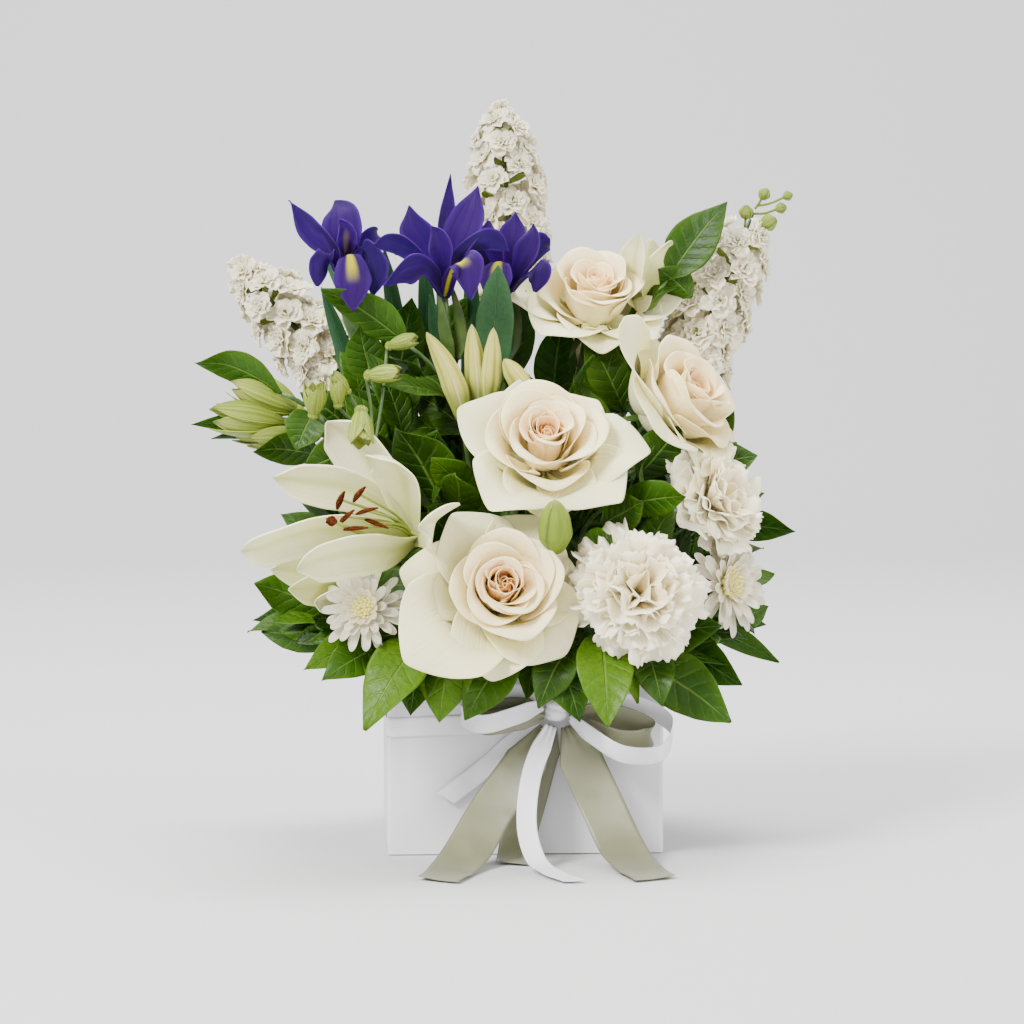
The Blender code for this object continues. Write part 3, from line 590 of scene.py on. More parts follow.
def rose(name, node, centre, face, across, seed, lift=0.0, guards=()):
    """guards lists the outermost petals: angle round the bloom, length, width and lean at the tip."""
    rng = np.random.default_rng(seed)
    size = across / 2
    sheets = Sheets()
    axes = bloom_frame(face)
    turn = 0.0
    last = len(ROSE_WHORLS)
    for k, (count, length, width, leans, low, drop, sharp, back, spiral) in enumerate(ROSE_WHORLS):
        turn += 0.8
        for i in range(count):
            turn += 2 * math.pi / count
            sway = rng.normal(0, 1, 6)
            tilt = [a + sway[0] * 6 * k / last for a in leans]
            form = petal(size * length * (1 + 0.05 * sway[1]), size * width * (1 + 0.07 * sway[2]), tilt,
                         (size * (0.03 + 0.018 * k), size * low), turn + 0.14 * sway[3], drop=drop,
                         sharp=sharp, back=size * back * (1 + 0.4 * sway[4]), spiral=size * spiral,
                         shape=((0, 0.3), (0.35, 0.8), (0.62, 1), (1, 0.86)),
                         ruffle=(size * (0.012 + 0.016 * k / last), 2.4, sway[5] * 3), rows=18, cols=15)
            sheets.lay(form, rng.random(), axes, centre, k / last)
    for way, length, width, tip in guards:
        sway = rng.normal(0, 1, 3)
        form = petal(size * length, size * width, (100, 72, 36, 30, 62, 0.5 * tip + 44, tip),
                     (size * 0.12, size * -0.66), math.radians(way), drop=0.34, sharp=1.25,
                     back=size * 0.34 * (1 + 0.3 * sway[0]), ruffle=(size * 0.05, 1.7, sway[1] * 3),
                     shape=((0, 0.4), (0.22, 0.86), (0.55, 1), (1, 0.95)), rows=24, cols=19)
        sheets.lay(form, rng.random(), axes, centre, 1.0)
    keep_clear(centre, face, size * 1.25)
    bloom = sheets.piece(name, rose_petal, 0.35, 1)
    n = unit(face)
    stand_on_stem(name, centre - n * size * 0.5, face, 2.3, node, lift)
    # the green calyx under the bloom: a swollen hip and five narrow sepals
    calyx = Sheets()
    rod(calyx, np.stack([centre - n * size * a for a in (0.66, 0.6, 0.52, 0.46)]), [2.4, 4.6, 5.0, 2.0],
        0.5, 12)
    for i in range(SEPALS):
        form = petal(size * 0.62, 6.0, (100, 112, 126, 138), (2.5, -0.66 * size), i * 1.2566 + 0.3,
                     wrap=9.0, shape=((0, 1), (0.4, 0.8), (1, 0.1)), rows=8, cols=5)
        calyx.lay(form, rng.random(), axes, centre)
    calyx.piece(name + "_calyx", stem_skin, 0.5)


def at(x, y, z):
    return np.array((x, y, z), float)


rose("rose_in_front", "rose_front", at(-15, -122, 154), at(0.06, -0.92, 0.3), 80, 11, 4.0,
     ((218, 2.0, 1.85, 84), (172, 1.62, 1.2, 70), (262, 1.42, 1.5, 104), (312, 1.36, 1.7, 130),
      (122, 1.35, 1.4, 66), (56, 1.3, 1.5, 76), (6, 1.2, 1.5, 92)))
rose("rose_at_centre", "rose_centre", at(10, -92, 233), at(0.02, -0.8, 0.58), 78, 5, 0.0,
     ((158, 1.48, 1.4, 76), (352, 1.66, 1.3, 84), (314, 1.62, 1.5, 94), (234, 1.56, 1.5, 92),
      (272, 1.36, 1.6, 104), (104, 1.25, 1.5, 66), (44, 1.2, 1.4, 78)))
rose("rose_at_back", "rose_back", at(43, -4, 314), at(0.08, -0.6, 0.8), 72, 23, 0.0,
     ((184, 1.6, 1.5, 88), (352, 1.6, 1.5, 84), (226, 1.6, 1.6, 98), (308, 1.5, 1.6, 106),
      (268, 1.45, 1.6, 112), (90, 1.2, 1.5, 70)))
rose("rose_at_right", "rose_right", at(92, -44, 256), at(0.66, -0.5, 0.56), 78, 31, 0.0,
     ((146, 2.0, 1.9, 50), (200, 1.75, 1.6, 92), (250, 1.5, 1.6, 108), (300, 1.4, 1.6, 114),
      (20, 1.3, 1.4, 86), (80, 1.3, 1.4, 82)))

# ---------------------------------------------------------------------------------------------------------
# Carnations: double blooms of many fan-shaped petals on narrow claws, ruffled and cut to teeth along
# the edge, all held in a green tubular calyx on a jointed stem.
white_petal = Paint("white_petal", {"Roughness": 0.6, "Subsurface Weight": 0.3, "Subsurface Scale": 0.005,
                                    "Subsurface Radius": (1.0, 0.85, 0.6), "Sheen Weight": 0.15})
across, along, tone = white_petal.lie()
whorl = white_petal.whorl()
# Painted shade: each petal darkens to olive towards its base, deep in the bloom, over the claw's own
# greenish tint
shaded_base = white_petal.mix(along.step(0.0, 0.6), (0.62, 0.58, 0.12), (1.0, 0.93, 0.66))
shaded_warm = white_petal.mix(tone.step(0.0, 1.0) * 0.4, shaded_base, (1.0, 0.88, 0.62))
# Painted shade: the inner whorls are tinted a darker warm yellow for the shade in the heart of the bloom
shaded_warm = white_petal.mix((1 - whorl.step(0.0, 0.7)) * 0.5, shaded_warm, (0.98, 0.8, 0.42))
crease = white_petal.veins(across * 11, along)
white_petal.colour(white_petal.mix(crease.step(0.5, 0.75) * 0.2, shaded_warm, (0.86, 0.79, 0.58)))
white_petal.bump(crease, 0.0008)

# Whorls from the outside in: petals, length, width, lean at the base, lean at the tip
CARNATION_WHORLS = ((9, 1.08, 1.1, 54, 108), (8, 1.02, 1.15, 46, 90), (7, 0.98, 1.2, 38, 74),
                    (6, 0.95, 1.15, 29, 58), (5, 0.91, 1.05, 20, 42), (4, 0.85, 0.95, 11, 26),
                    (3, 0.76, 0.8, 4, 10))


def carnation(name, node, centre, face, radius, seed, lift=0.0, calm=1.0):
    rng = np.random.default_rng(seed)
    axes = bloom_frame(face)
    sheets = Sheets()
    for k, (count, length, width, low, high) in enumerate(CARNATION_WHORLS):
        for i in range(count):
            sway = rng.normal(0, 1, 6)
            form = petal(radius * length * (1 + 0.06 * sway[0]), radius * width * (1 + 0.1 * sway[1]),
                         (low, low, high + 9 * sway[2], high + 12 + 14 * sway[3]),
                         (radius * 0.04, -0.34 * radius),
                         i * 2 * math.pi / count + k * 1.9 + 0.12 * sway[4], wrap=radius * 0.75,
                         shape=((0, 0.1), (0.35, 0.22), (0.62, 0.7), (0.85, 1), (1, 1)), drop=0.16,
                         sharp=2.4, ruffle=(radius * 0.11 * calm, 1.5 + 0.7 * abs(sway[5]), sway[5] * 3),
                         teeth=0.09 * calm, rows=16, cols=35)
            sheets.lay(form, rng.random(), axes, centre, 1 - k / 6)
    keep_clear(centre, face, radius)
    bloom = sheets.piece(name, white_petal, 0.3)
    n = unit(face)
    stand_on_stem(name, centre - n * radius * 0.62, face, 1.8, node, lift)
    calyx = Sheets()
    rod(calyx, np.stack([centre - n * radius * a for a in (0.9, 0.8, 0.5, 0.28)]), [2.4, 5.0, 6.4, 5.6],
        0.5, 14)
    calyx.piece(name + "_calyx", stem_skin, 0)


carnation("carnation_in_front", "carnation_front", at(59, -116, 150), at(0.12, -0.93, 0.33), 38, 3, 8.0)
carnation("carnation_at_right", "carnation_right", at(108, -58, 197), at(0.6, -0.55, 0.42), 35, 8, calm=0.7)

# ---------------------------------------------------------------------------------------------------------
# Spray chrysanthemums: flat daisies whose many narrow petals are curved across, round a green heart of
# short unopened florets. Each stands on its own thin stem, stuck in the foam.
GOLDEN_TURN = 2.39996  # the turn from one floret to the next, in radians

disc_green = Paint("disc_green", {"Roughness": 0.6, "Subsurface Weight": 0.2, "Subsurface Scale": 0.003})
_, along, _ = disc_green.lie()
disc_green.colour(disc_green.mix(along.step(0.2, 0.95), (0.22, 0.27, 0.02), (0.8, 0.72, 0.2)))


def swell(sheets, base, face, length, radius, ribs=3, depth=0.1, bend=(0, 0, 0), tone=0.5, point=0.12,
          turn=0.0, fat=0.38):
    """A closed bud: a ribbed spindle from its base along face, bent sideways by bend at its tip."""
    s = np.linspace(0, 1, 22)
    a = np.linspace(0, 2 * math.pi, 31)[:-1]
    rise = np.interp(s, (0, 0.1, fat, 0.72, 0.93, 1), (0.22, 0.6, 1, 0.8, 0.38, point))
    rise = np.convolve(np.pad(rise, 1, mode="edge"), (0.25, 0.5, 0.25), mode="valid")
    rise[0], rise[-1] = 0.1, 0.02
    cut = 1 - depth * (1 - np.abs(np.cos(ribs * (a + turn) / 2))) ** 2 * 2.2
    axes = bloom_frame(face)
    ring = np.stack([np.cos(a), np.sin(a), np.zeros_like(a)], -1) @ axes.T
    spine = base + unit(face) * (s[:, None] * length) + np.asarray(bend, float) * s[:, None] ** 2
    grid = spine[:, None] + ring * (radius * rise[:, None] * cut)[..., None]
    sheets.add(grid, ((ribs * (a + turn) / math.pi) % 2) - 1, s[:, None], tone, closed=True)


HEART_FLORETS = 34
# Rings from the outside in: petals, length and lean
DAISY_RINGS = ((16, 1.0, 96), (15, 0.92, 80), (14, 0.8, 62), (12, 0.6, 42), (9, 0.4, 20))


def chrysanthemum(name, node, centre, face, radius, seed, lift):
    rng = np.random.default_rng(seed)
    axes = bloom_frame(face)
    sheets = Sheets()
    for k, (count, length, lean) in enumerate(DAISY_RINGS):
        for i in range(count):
            sway = rng.normal(0, 1, 4)
            form = petal(radius * length * (1 + 0.07 * sway[0]), radius * 0.24,
                         (lean * 0.5, lean, lean + 7 * sway[1], lean - 8), (radius * 0.08, -0.1 * radius),
                         i * 2 * math.pi / count + k * 0.7 + 0.08 * sway[2], wrap=radius * 0.13,
                         shape=((0, 0.55), (0.5, 0.9), (0.85, 1), (1, 0.7)), drop=0.1, rows=9, cols=7)
            sheets.lay(form, rng.random(), axes, centre, 1 - k / 4)
    keep_clear(centre, face, radius)
    bloom = sheets.piece(name, white_petal, 0.35, 1)
    stand_on_stem(name, centre - unit(face) * radius * 0.3, face, 1.6, node, lift)
    heart = Sheets()
    for i in range(HEART_FLORETS):
        reach = radius * 0.3 * math.sqrt((i + 0.5) / HEART_FLORETS)
        out = axes[:, 0] * math.cos(i * GOLDEN_TURN) + axes[:, 1] * math.sin(i * GOLDEN_TURN)
        swell(heart, centre + out * reach * 0.7 + axes[:, 2] * radius * 0.02,
              axes[:, 2] + out * reach / radius * 1.6, radius * 0.26, radius * 0.065, 2, 0.05, tone=0.9)
    heart.piece(name + "_heart", disc_green, 0)


chrysanthemum("chrysanthemum_at_left", "chrysanthemum_left", at(-90, -106, 141), at(-0.3, -0.88, 0.2), 23,
              4, 16.0)
chrysanthemum("chrysanthemum_at_right", "chrysanthemum_right", at(114, -68, 150), at(0.6, -0.7, 0.15), 27,
              6, 10.0)

# ---------------------------------------------------------------------------------------------------------
# Stocks: tall stems set all round with small double florets of crumpled petals, the youngest still in
# bud at the top, where the right-hand one carries round green buds.
bud_skin = Paint("bud_green", {"Roughness": 0.42, "Subsurface Weight": 0.08, "Subsurface Scale": 0.001,
                               "Subsurface Radius": (0.8, 1.0, 0.4)})
across, along, tone = bud_skin.lie()
stripe = bud_skin.lines(across * 5 + tone * 7, 1.0)
skin = bud_skin.mix(stripe.step(0.42, 0.54), (0.02, 0.07, 0.003), (0.34, 0.42, 0.03))
skin = bud_skin.mix(tone.step(0.4, 1.0) * along.step(0.5, 0.95) * 0.35, skin, (0.62, 0.6, 0.16))
bud_skin.colour(bud_skin.mix(along.step(0.9, 1.0) * 0.7, skin, (0.08, 0.12, 0.03)))
bud_skin.bump(stripe, 0.0004)


FLORET_SIZE = 13.5
FLORET_SPACING = 2.7
# Rings of one floret from the outside in: petals, length, lean at the base, lean at the tip
FLORET_RINGS = ((5, 1.0, 54, 88), (5, 0.84, 40, 70), (4, 0.64, 24, 48), (3, 0.46, 8, 24))


def floret(sheets, centre, face, size, rng, k=0.5):
    axes = bloom_frame(face, rng.random() * 6)
    for ring, (count, length, low, high) in enumerate(FLORET_RINGS):
        for i in range(count):
            sway = rng.normal(0, 1, 5)
            form = petal(size * length * (1 + 0.1 * sway[0]), size * 0.95 * length,
                         (low, high + 9 * sway[1], high + 12 * sway[2]), (size * 0.05, -0.2 * size),
                         i * 2 * math.pi / count + ring * 0.9 + 0.2 * sway[3], wrap=size * 0.6,
                         shape=((0, 0.3), (0.4, 0.85), (0.75, 1), (1, 0.9)), drop=0.25,
                         ruffle=(size * 0.1, 1.9, sway[4] * 3), rows=7, cols=9)
            sheets.lay(form, rng.random(), axes, centre, k)


def stock(name, node, base, face, length, radius, seed, bare=0.0, buds=()):
    """base, face and length give the column; bare is the share of its top left for buds."""
    rng = np.random.default_rng(seed)
    n = unit(face)
    axes = bloom_frame(face)
    blooms, greens = Sheets(), Sheets()
    count = int(length * (1 - bare) / FLORET_SPACING)
    for i in range(count):
        s = i / count * (1 - bare)
        body = (1 - s**6) ** 0.55 * (0.94 + 0.06 * math.sin(i * 0.55))
        turn = i * GOLDEN_TURN
        out = axes[:, 0] * math.cos(turn) + axes[:, 1] * math.sin(turn)
        reach = max(1.0, radius * body - FLORET_SIZE * 0.6)
        centre = base + n * (s * length + 5) + out * reach
        small = FLORET_SIZE * (1.0 - 0.3 * s)
        floret(blooms, centre, out + n * (0.15 + 0.7 * s), small * (1 + 0.08 * rng.normal()), rng)
        if i % 2:
            swell(greens, base + n * s * length, out + n * 0.4, reach + small * 0.3, 2.2, tone=0.1)
    for i in range(7 if not bare else 0):
        turn = i * 2.4
        out = axes[:, 0] * math.cos(turn) + axes[:, 1] * math.sin(turn)
        swell(greens, base + n * (length * 0.95), out + n * (1.2 + 0.4 * i), 7.5, 2.6, 4, 0.15, tone=0.9)
    for place, size in buds:
        place = np.asarray(place, float)
        start = base + n * min(length, (place - base).dot(n) - 8)
        rod(greens, curve_through((start, (start + place) / 2 - n * 1.5, place), 6), 0.8, 0.3)
        swell(greens, place - unit(place - start) * size * 0.5, place - start, size * 1.9, size, 4, 0.12,
              tone=0.35, point=0.3, fat=0.5)
    bloom = blooms.piece(name, white_petal, 0.3)
    greens.piece(name + "_buds", bud_skin, 0)
    stand_on_stem(name, base, face, 2.3, node)
    spine = Sheets()
    rod(spine, np.stack([base - n * 2, base + n * length * 0.5, base + n * length * 0.96]), [2.3, 1.8, 1.0])
    spine.piece(name + "_spine", stem_skin, 0)


stock("stock_at_back", "stock_back", at(2, 62, 306), at(-0.08, 0.03, 1.0), 116, 29, 12)
stock("stock_at_left", "stock_left", at(-94, 50, 256), at(-0.68, 0.02, 0.74), 98, 27, 15)
stock("stock_at_right", "stock_right", at(98, 18, 262), at(0.38, 0.0, 0.93), 112, 28, 16, 0.16,
      (((134, 14, 360), 4.6), ((145, 12, 355), 5.4), ((153, 14, 364), 3.6), ((157, 13, 371), 3.2),
       ((144, 16, 371), 4.0)))
stock("stock_in_middle", "stock_middle", at(37, 38, 262), at(0.0, 0.18, 0.98), 62, 22, 19)

# ---------------------------------------------------------------------------------------------------------
# Lilies: trumpets of six thick tepals with a green midrib, opened wide, with six long anthers of
# red-brown pollen and one dark stigma on its style.


def blade(knots, width, side, shape, fold=0.0, curl=0.0, wave=(0.0, 2.0, 0.0), rows=18, cols=11, flip=1.0):
    """A strip of leaf or petal along the curve through the knots. side is its width direction, one vector
    or one for each knot; fold lifts both edges, curl does so more towards the tip, wave ruffles them."""
    route = curve_through(knots, rows)
    along = unit(np.gradient(route, axis=0))
    sides = np.atleast_2d(np.asarray(side, float))
    lie = curve_through(sides, rows) if len(sides) > 1 else np.repeat(sides, rows, 0)
    lie = unit(lie - along * (lie * along).sum(1, keepdims=True))
    up = np.cross(lie, along) * flip
    u = np.linspace(-1, 1, cols)
    s = np.linspace(0, 1, rows)[:, None]
    half = width / 2 * np.interp(s, *zip(*shape))
    lean = (fold + curl * s) * half
    lift = (lean * (np.sqrt(u**2 + 0.04) - 0.2)
            + wave[0] * np.sin(s * math.pi * 2 * wave[1] + wave[2]) * u * abs(u))
    spread = half * u * np.cos(np.minimum(1.2, np.abs(fold + curl * s) * 0.6))
    grid = route[:, None] + lie[:, None] * spread[..., None] + up[:, None] * lift[..., None]
    return grid, u, s


lily_petal = Paint("lily_petal", {"Roughness": 0.42, "Subsurface Weight": 0.3, "Subsurface Scale": 0.006,
                                  "Subsurface Radius": (0.9, 1.0, 0.5), "Coat Weight": 0.08})
across, along, tone = lily_petal.lie()
rib = 1 - abs(across).step(0.0, 0.34)
throat = 1 - along.step(0.05, 0.65)
edge_tint = lily_petal.mix(tone, (0.7, 0.7, 0.24), (1.0, 0.95, 0.6))
inner = lily_petal.mix(rib * 0.5, edge_tint, (0.42, 0.5, 0.09))
inner = lily_petal.mix(throat * 0.7, inner, (0.44, 0.5, 0.07))
inner = lily_petal.mix(along.step(0.88, 1.0) * 0.6, inner, (0.5, 0.58, 0.26))
vein = lily_petal.lines(across * 10)
lily_petal.colour(lily_petal.mix(vein.step(0.55, 0.75) * 0.25, inner, (0.72, 0.74, 0.36)))
lily_petal.bump(vein * 0.6 + lily_petal.noise(260, 2) * 0.4, 0.0008)

pollen = Paint("pollen_brown", {"Roughness": 0.9, "Specular IOR Level": 0.1})
pollen.colour(pollen.mix(pollen.noise(900, 3).step(0.35, 0.65), (0.03, 0.005, 0.001), (0.11, 0.025, 0.005)))
pollen.bump(pollen.noise(1600, 2), 0.0005)

TEPAL = ((0, 0.3), (0.15, 0.45), (0.4, 0.88), (0.58, 1.0), (0.76, 0.82), (0.9, 0.42), (1, 0.04))
throat_at = at(-62, -98, 178)
lily = Sheets()
# Each tepal: the curve that it follows after the throat, its width direction, width, fold and tone
TEPAL_ROUTES = (
    (((-84, -112, 184), (-116, -128, 186), (-145, -138, 178), (-157, -140, 175)),
     (0.1, -0.6, 0.8), 34, 0.35, 0.75),
    (((-78, -100, 196), (-100, -104, 207), (-126, -110, 212), (-140, -114, 214)),
     (0.35, -0.35, 0.85), 30, 0.3, 0.7),
    (((-72, -92, 198), (-88, -90, 222), (-102, -92, 238), (-111, -96, 243)),
     (0.75, -0.5, 0.35), 40, 0.3, 0.9),
    (((-66, -104, 196), (-70, -114, 216), (-79, -122, 225), (-90, -126, 226)),
     (0.75, -0.55, 0.1), 34, 0.55, 0.85),
    (((-76, -118, 174), (-98, -136, 174), (-116, -148, 171), (-127, -153, 166)),
     (0.55, -0.1, 0.85), 34, 0.35, 0.65),
    (((-58, -110, 184), (-52, -128, 190), (-55, -142, 192), (-62, -150, 188)),
     (0.5, -0.1, 0.9), 34, 0.4, 0.95),
)
for knots, side, width, fold, tone in TEPAL_ROUTES:
    form = blade((throat_at, *knots), width * 0.9, side, TEPAL, fold, 0.1, (1.2, 1.5, width), rows=26,
                 cols=15)
    lily.lay(form, tone)
lily = lily.piece("lily_at_left", lily_petal, 0.9, 1)
keep_clear((-105, -125, 190), (-0.84, -0.4, 0.26), 44)
stand_on_stem("lily_at_left", at(-60, -103, 171), at(-0.84, -0.4, 0.26), 2.2, "lily_left")
filaments, anthers = Sheets(), Sheets()
for tip, lean in (((-104, -138, 203), (0.2, -0.3, 0.9)), ((-101, -142, 194), (0.5, -0.2, 0.7)),
                  ((-94, -134, 206), (0.4, -0.4, 0.8)), ((-90, -136, 197), (0.8, -0.3, 0.4)),
                  ((-96, -144, 188), (0.9, -0.1, 0.2)), ((-85, -132, 190), (1.0, -0.1, -0.3))):
    tip = np.array(tip, float)
    rod(filaments, curve_through((throat_at, (throat_at * 2 + tip) / 3 + (0, -3, 5), tip), 14), 0.8, 0.9)
    swell(anthers, tip - unit(lean) * 6.5, lean, 13, 1.9, 2, 0.35, bend=(1.5, 0, -1.5), point=0.5)
filaments.piece("lily_filaments", bud_skin, 0)
style = Sheets()
tip = at(-108, -150, 192)
rod(style, curve_through((throat_at, (throat_at + tip) / 2 + (0, 0, -4), tip), 14), 1.2, 0.9)
style.piece("lily_style", bud_skin, 0)
swell(anthers, tip + (2.5, 1.2, -0.4), (-0.8, -0.5, 0.1), 6.5, 3.2, 3, 0.4, point=0.7)
anthers.piece("lily_anthers", pollen, 0)


def small_lily(name, node, centre, face, base, petals, seed, reach, width):
    """A lily seen half open: petals gives the tip of each tepal."""
    rng = np.random.default_rng(seed)
    centre, base = np.asarray(centre, float), np.asarray(base, float)
    sheets = Sheets()
    for tip in petals:
        tip = np.asarray(tip, float)
        out = tip - base
        mid = base + out * 0.5 + (tip - centre - unit(face) * (tip - centre).dot(unit(face))) * reach
        form = blade((base, mid, tip), width, np.cross(out, tip - centre + (0, 0, 0.01)), TEPAL, 0.5, -0.3,
                     (1.0, 1.2, rng.random() * 6), rows=18, cols=11)
        sheets.lay(form, 0.2 + 0.6 * rng.random())
    keep_clear(centre, face, 20)
    made = sheets.piece(name, lily_petal, 0.8, 1)
    stand_on_stem(name, base, face, 2.0, node)


small_lily("lily_low_at_left", "lily_low_left", (-114, -76, 158), (-0.86, -0.42, 0.1), (-96, -67, 156),
           ((-142, -98, 162), (-132, -108, 152), (-118, -100, 144), (-134, -74, 172), (-124, -70, 146)), 2,
           0.2, 22)
small_lily("lily_at_back_right", "lily_back_right", (84, 10, 330), (0.2, -0.25, 0.93), (79, 16, 301),
           ((70, -4, 349), (88, -6, 345), (96, 14, 340), (66, 12, 338), (80, 24, 346), (60, 0, 330)), 5,
           0.35, 27)

# ---------------------------------------------------------------------------------------------------------
# Buds: lily buds of three closed tepals stand behind the roses, a fat green one hangs between the blooms
# in front, and alstroemerias on the left are still in striped bud.
lily_bud = Paint("lily_bud", {"Roughness": 0.38, "Subsurface Weight": 0.25, "Subsurface Scale": 0.005,
                              "Coat Weight": 0.1})
across, along, tone = lily_bud.lie()
seam = abs(across).step(0.78, 0.98)
pale = lily_bud.mix(along.step(0.0, 0.55), (0.14, 0.24, 0.012), (0.68, 0.64, 0.12))
green_rib = 1 - abs(across).step(0.05, 0.3)
pale = lily_bud.mix(green_rib * 0.6, pale, (0.3, 0.38, 0.04))
pale = lily_bud.mix(tone.step(0.5, 1.0), lily_bud.mix(along, (0.13, 0.22, 0.004), (0.24, 0.34, 0.006)), pale)
seam_tint = lily_bud.mix(tone.step(0.4, 0.9), (0.03, 0.07, 0.003), (0.86, 0.84, 0.5))
pale = lily_bud.mix(seam * 0.65, pale, seam_tint)
lily_bud.colour(lily_bud.mix(along.step(0.9, 1.0) * 0.6, pale, (0.36, 0.4, 0.12)))
lily_bud.bump(lily_bud.lines(across * 8), 0.0006)


def bud(name, node, base, face, length, radius, bend=(0, 0, 0), tone=1.0, twins=(), ribs=3):
    sheets = Sheets()
    swell(sheets, np.asarray(base, float), face, length, radius, ribs, 0.14, bend, tone)
    for place, way, size, thick in twins:
        swell(sheets, np.asarray(place, float), way, size, thick, ribs, 0.14, (0, 0, 0), tone, turn=0.6)
    keep_clear(np.asarray(base) + unit(face) * length * 0.4, face, length * 0.35)
    made = sheets.piece(name, lily_bud, 0, 1)
    stand_on_stem(name, np.asarray(base, float) + unit(face) * 2, face, 1.6, node)


bud("lily_bud_tall", "lily_bud_tall", (-34, -60, 239), (-0.12, -0.06, 0.98), 58, 7.6, (-14, -2, -4))
bud("lily_bud_pair", "lily_bud_upright", (-25, -50, 244), (-0.08, -0.04, 1.0), 53, 6.8,
    twins=(((-20, -54, 247), (0.06, -0.05, 1.0), 48, 6.6),))
bud("lily_bud_small", "lily_bud_small", (4, -57, 256), (-0.55, -0.2, 0.75), 27, 7.0)
bud("green_bud_in_front", "green_bud_front", (13, -116, 171), (0.0, -0.36, 0.93), 33, 10.5, tone=0.2)


def striped_bloom(sheets, base, face, length, radius, seed, spread=0.0):
    """An alstroemeria bud: six overlapping petals wound to a point, or parting by spread degrees."""
    rng = np.random.default_rng(seed)
    base = np.asarray(base, float)
    axes = bloom_frame(face, rng.random())
    swell(sheets, base, face, length * 0.3, radius * 0.5, 3, 0.1, tone=0.0, point=0.6)
    for i in range(6):
        outer = i < 3
        form = petal(length * (1.0 if outer else 0.94), radius * 2.1,
                     (34 + spread * 0.3, 14 + spread * 0.6, -8 + spread, -24 + spread * 1.4),
                     (radius * (0.3 if outer else 0.2), length * 0.12), i * 2.0944 + (0 if outer else 1.0),
                     shape=((0, 0.35), (0.35, 0.95), (0.6, 1), (0.85, 0.6), (1, 0.25)), drop=0.2, sharp=1.6,
                     groove=-0.6, ruffle=(spread * 0.03, 3.0, i), rows=12, cols=9)
        sheets.lay(form, 0.55 + 0.4 * rng.random(), axes, base)


cluster = Sheets()
for k, (base, face, length, radius, spread) in enumerate((
    ((-128, -52, 240), (-0.95, -0.15, 0.12), 46, 7.5, 4), ((-122, -50, 246), (-0.9, -0.1, 0.35), 44, 7, 0),
    ((-120, -46, 238), (-0.97, 0.0, -0.05), 42, 6.5, 0), ((-118, -52, 234), (-0.85, -0.2, -0.02), 36, 6, 2),
    ((-124, -42, 250), (-0.85, 0.1, 0.4), 36, 6, 0),
)):
    striped_bloom(cluster, base, face, length, radius, k, spread)
cluster = cluster.piece("alstroemeria_at_left", bud_skin, 0.5, 1)
stand_on_stem("alstroemeria_at_left", at(-122, -46, 240), at(-0.95, 0, 0.28), 2.0,
              "alstroemeria_left")
cluster = Sheets()
stalks = Sheets()
for k, (base, face, length, radius, spread) in enumerate((
    ((-78, -62, 284), (0.9, -0.2, 0.25), 18, 5.5, 0), ((-90, -78, 268), (0.9, -0.3, 0.1), 20, 7, 0),
    ((-118, -84, 244), (0.05, -0.3, 0.95), 20, 7, 12), ((-104, -86, 250), (-0.1, -0.2, 0.95), 16, 6, 0),
    ((-92, -96, 252), (0.0, -0.4, -0.9), 22, 8, 10), ((-98, -84, 258), (-0.5, -0.2, 0.6), 15, 5, 0),
)):
    striped_bloom(cluster, base, face, length, radius, 20 + k, spread)
    start = at(-86, -88, 222)
    end = np.array(base, float)
    rod(stalks, curve_through((start, (start + end) / 2 + (2, 4, 2), end + unit(face)), 10), 1.0)
cluster = cluster.piece("alstroemeria_at_centre", bud_skin, 0.5, 1)
stalks.piece("alstroemeria_stalks", stem_skin, 0)
stand_on_stem("alstroemeria_at_centre", at(-86, -88, 224), at(-0.1, -0.3, 0.95), 2.0,
              "alstroemeria_centre")

# ---------------------------------------------------------------------------------------------------------
# Irises: three falls that hang from a narrow haft, each with a yellow-green flash, three upright
# standards and three arched style arms, above a pair of pointed green spathes.
violet = Paint("violet_petal", {"Roughness": 0.5, "Subsurface Weight": 0.25, "Subsurface Scale": 0.004,
                                "Subsurface Radius": (0.6, 0.3, 1.0), "Specular IOR Level": 0.12})
across, along, tone = violet.lie()
vein = violet.lines(across * 12)
body = violet.mix(tone, (0.005, 0.001, 0.034), (0.03, 0.004, 0.1))
body = violet.mix(vein.step(0.5, 0.8) * 0.6, body, (0.003, 0.001, 0.02))
body = violet.mix(abs(across).step(0.75, 1.0) * 0.35, body, (0.07, 0.02, 0.26))
flash = (1 - abs(across).step(0.14, 0.46)) * (1 - along.step(0.5, 0.74)) * tone.step(0.78, 0.84)
violet.colour(violet.mix(flash, body, (0.46, 0.42, 0.008)))
violet.bump(vein * 0.6 + violet.noise(420, 2) * 0.4, 0.0008)

FALL = ((0, 0.3), (0.35, 0.42), (0.55, 0.85), (0.68, 1.0), (0.82, 0.7), (0.93, 0.32), (1, 0.03))
STANDARD = ((0, 0.25), (0.3, 0.6), (0.5, 1.0), (0.68, 0.82), (0.86, 0.36), (1, 0.02))
SPATHE = ((0, 0.7), (0.3, 1.0), (0.6, 0.8), (0.9, 0.3), (1, 0.05))


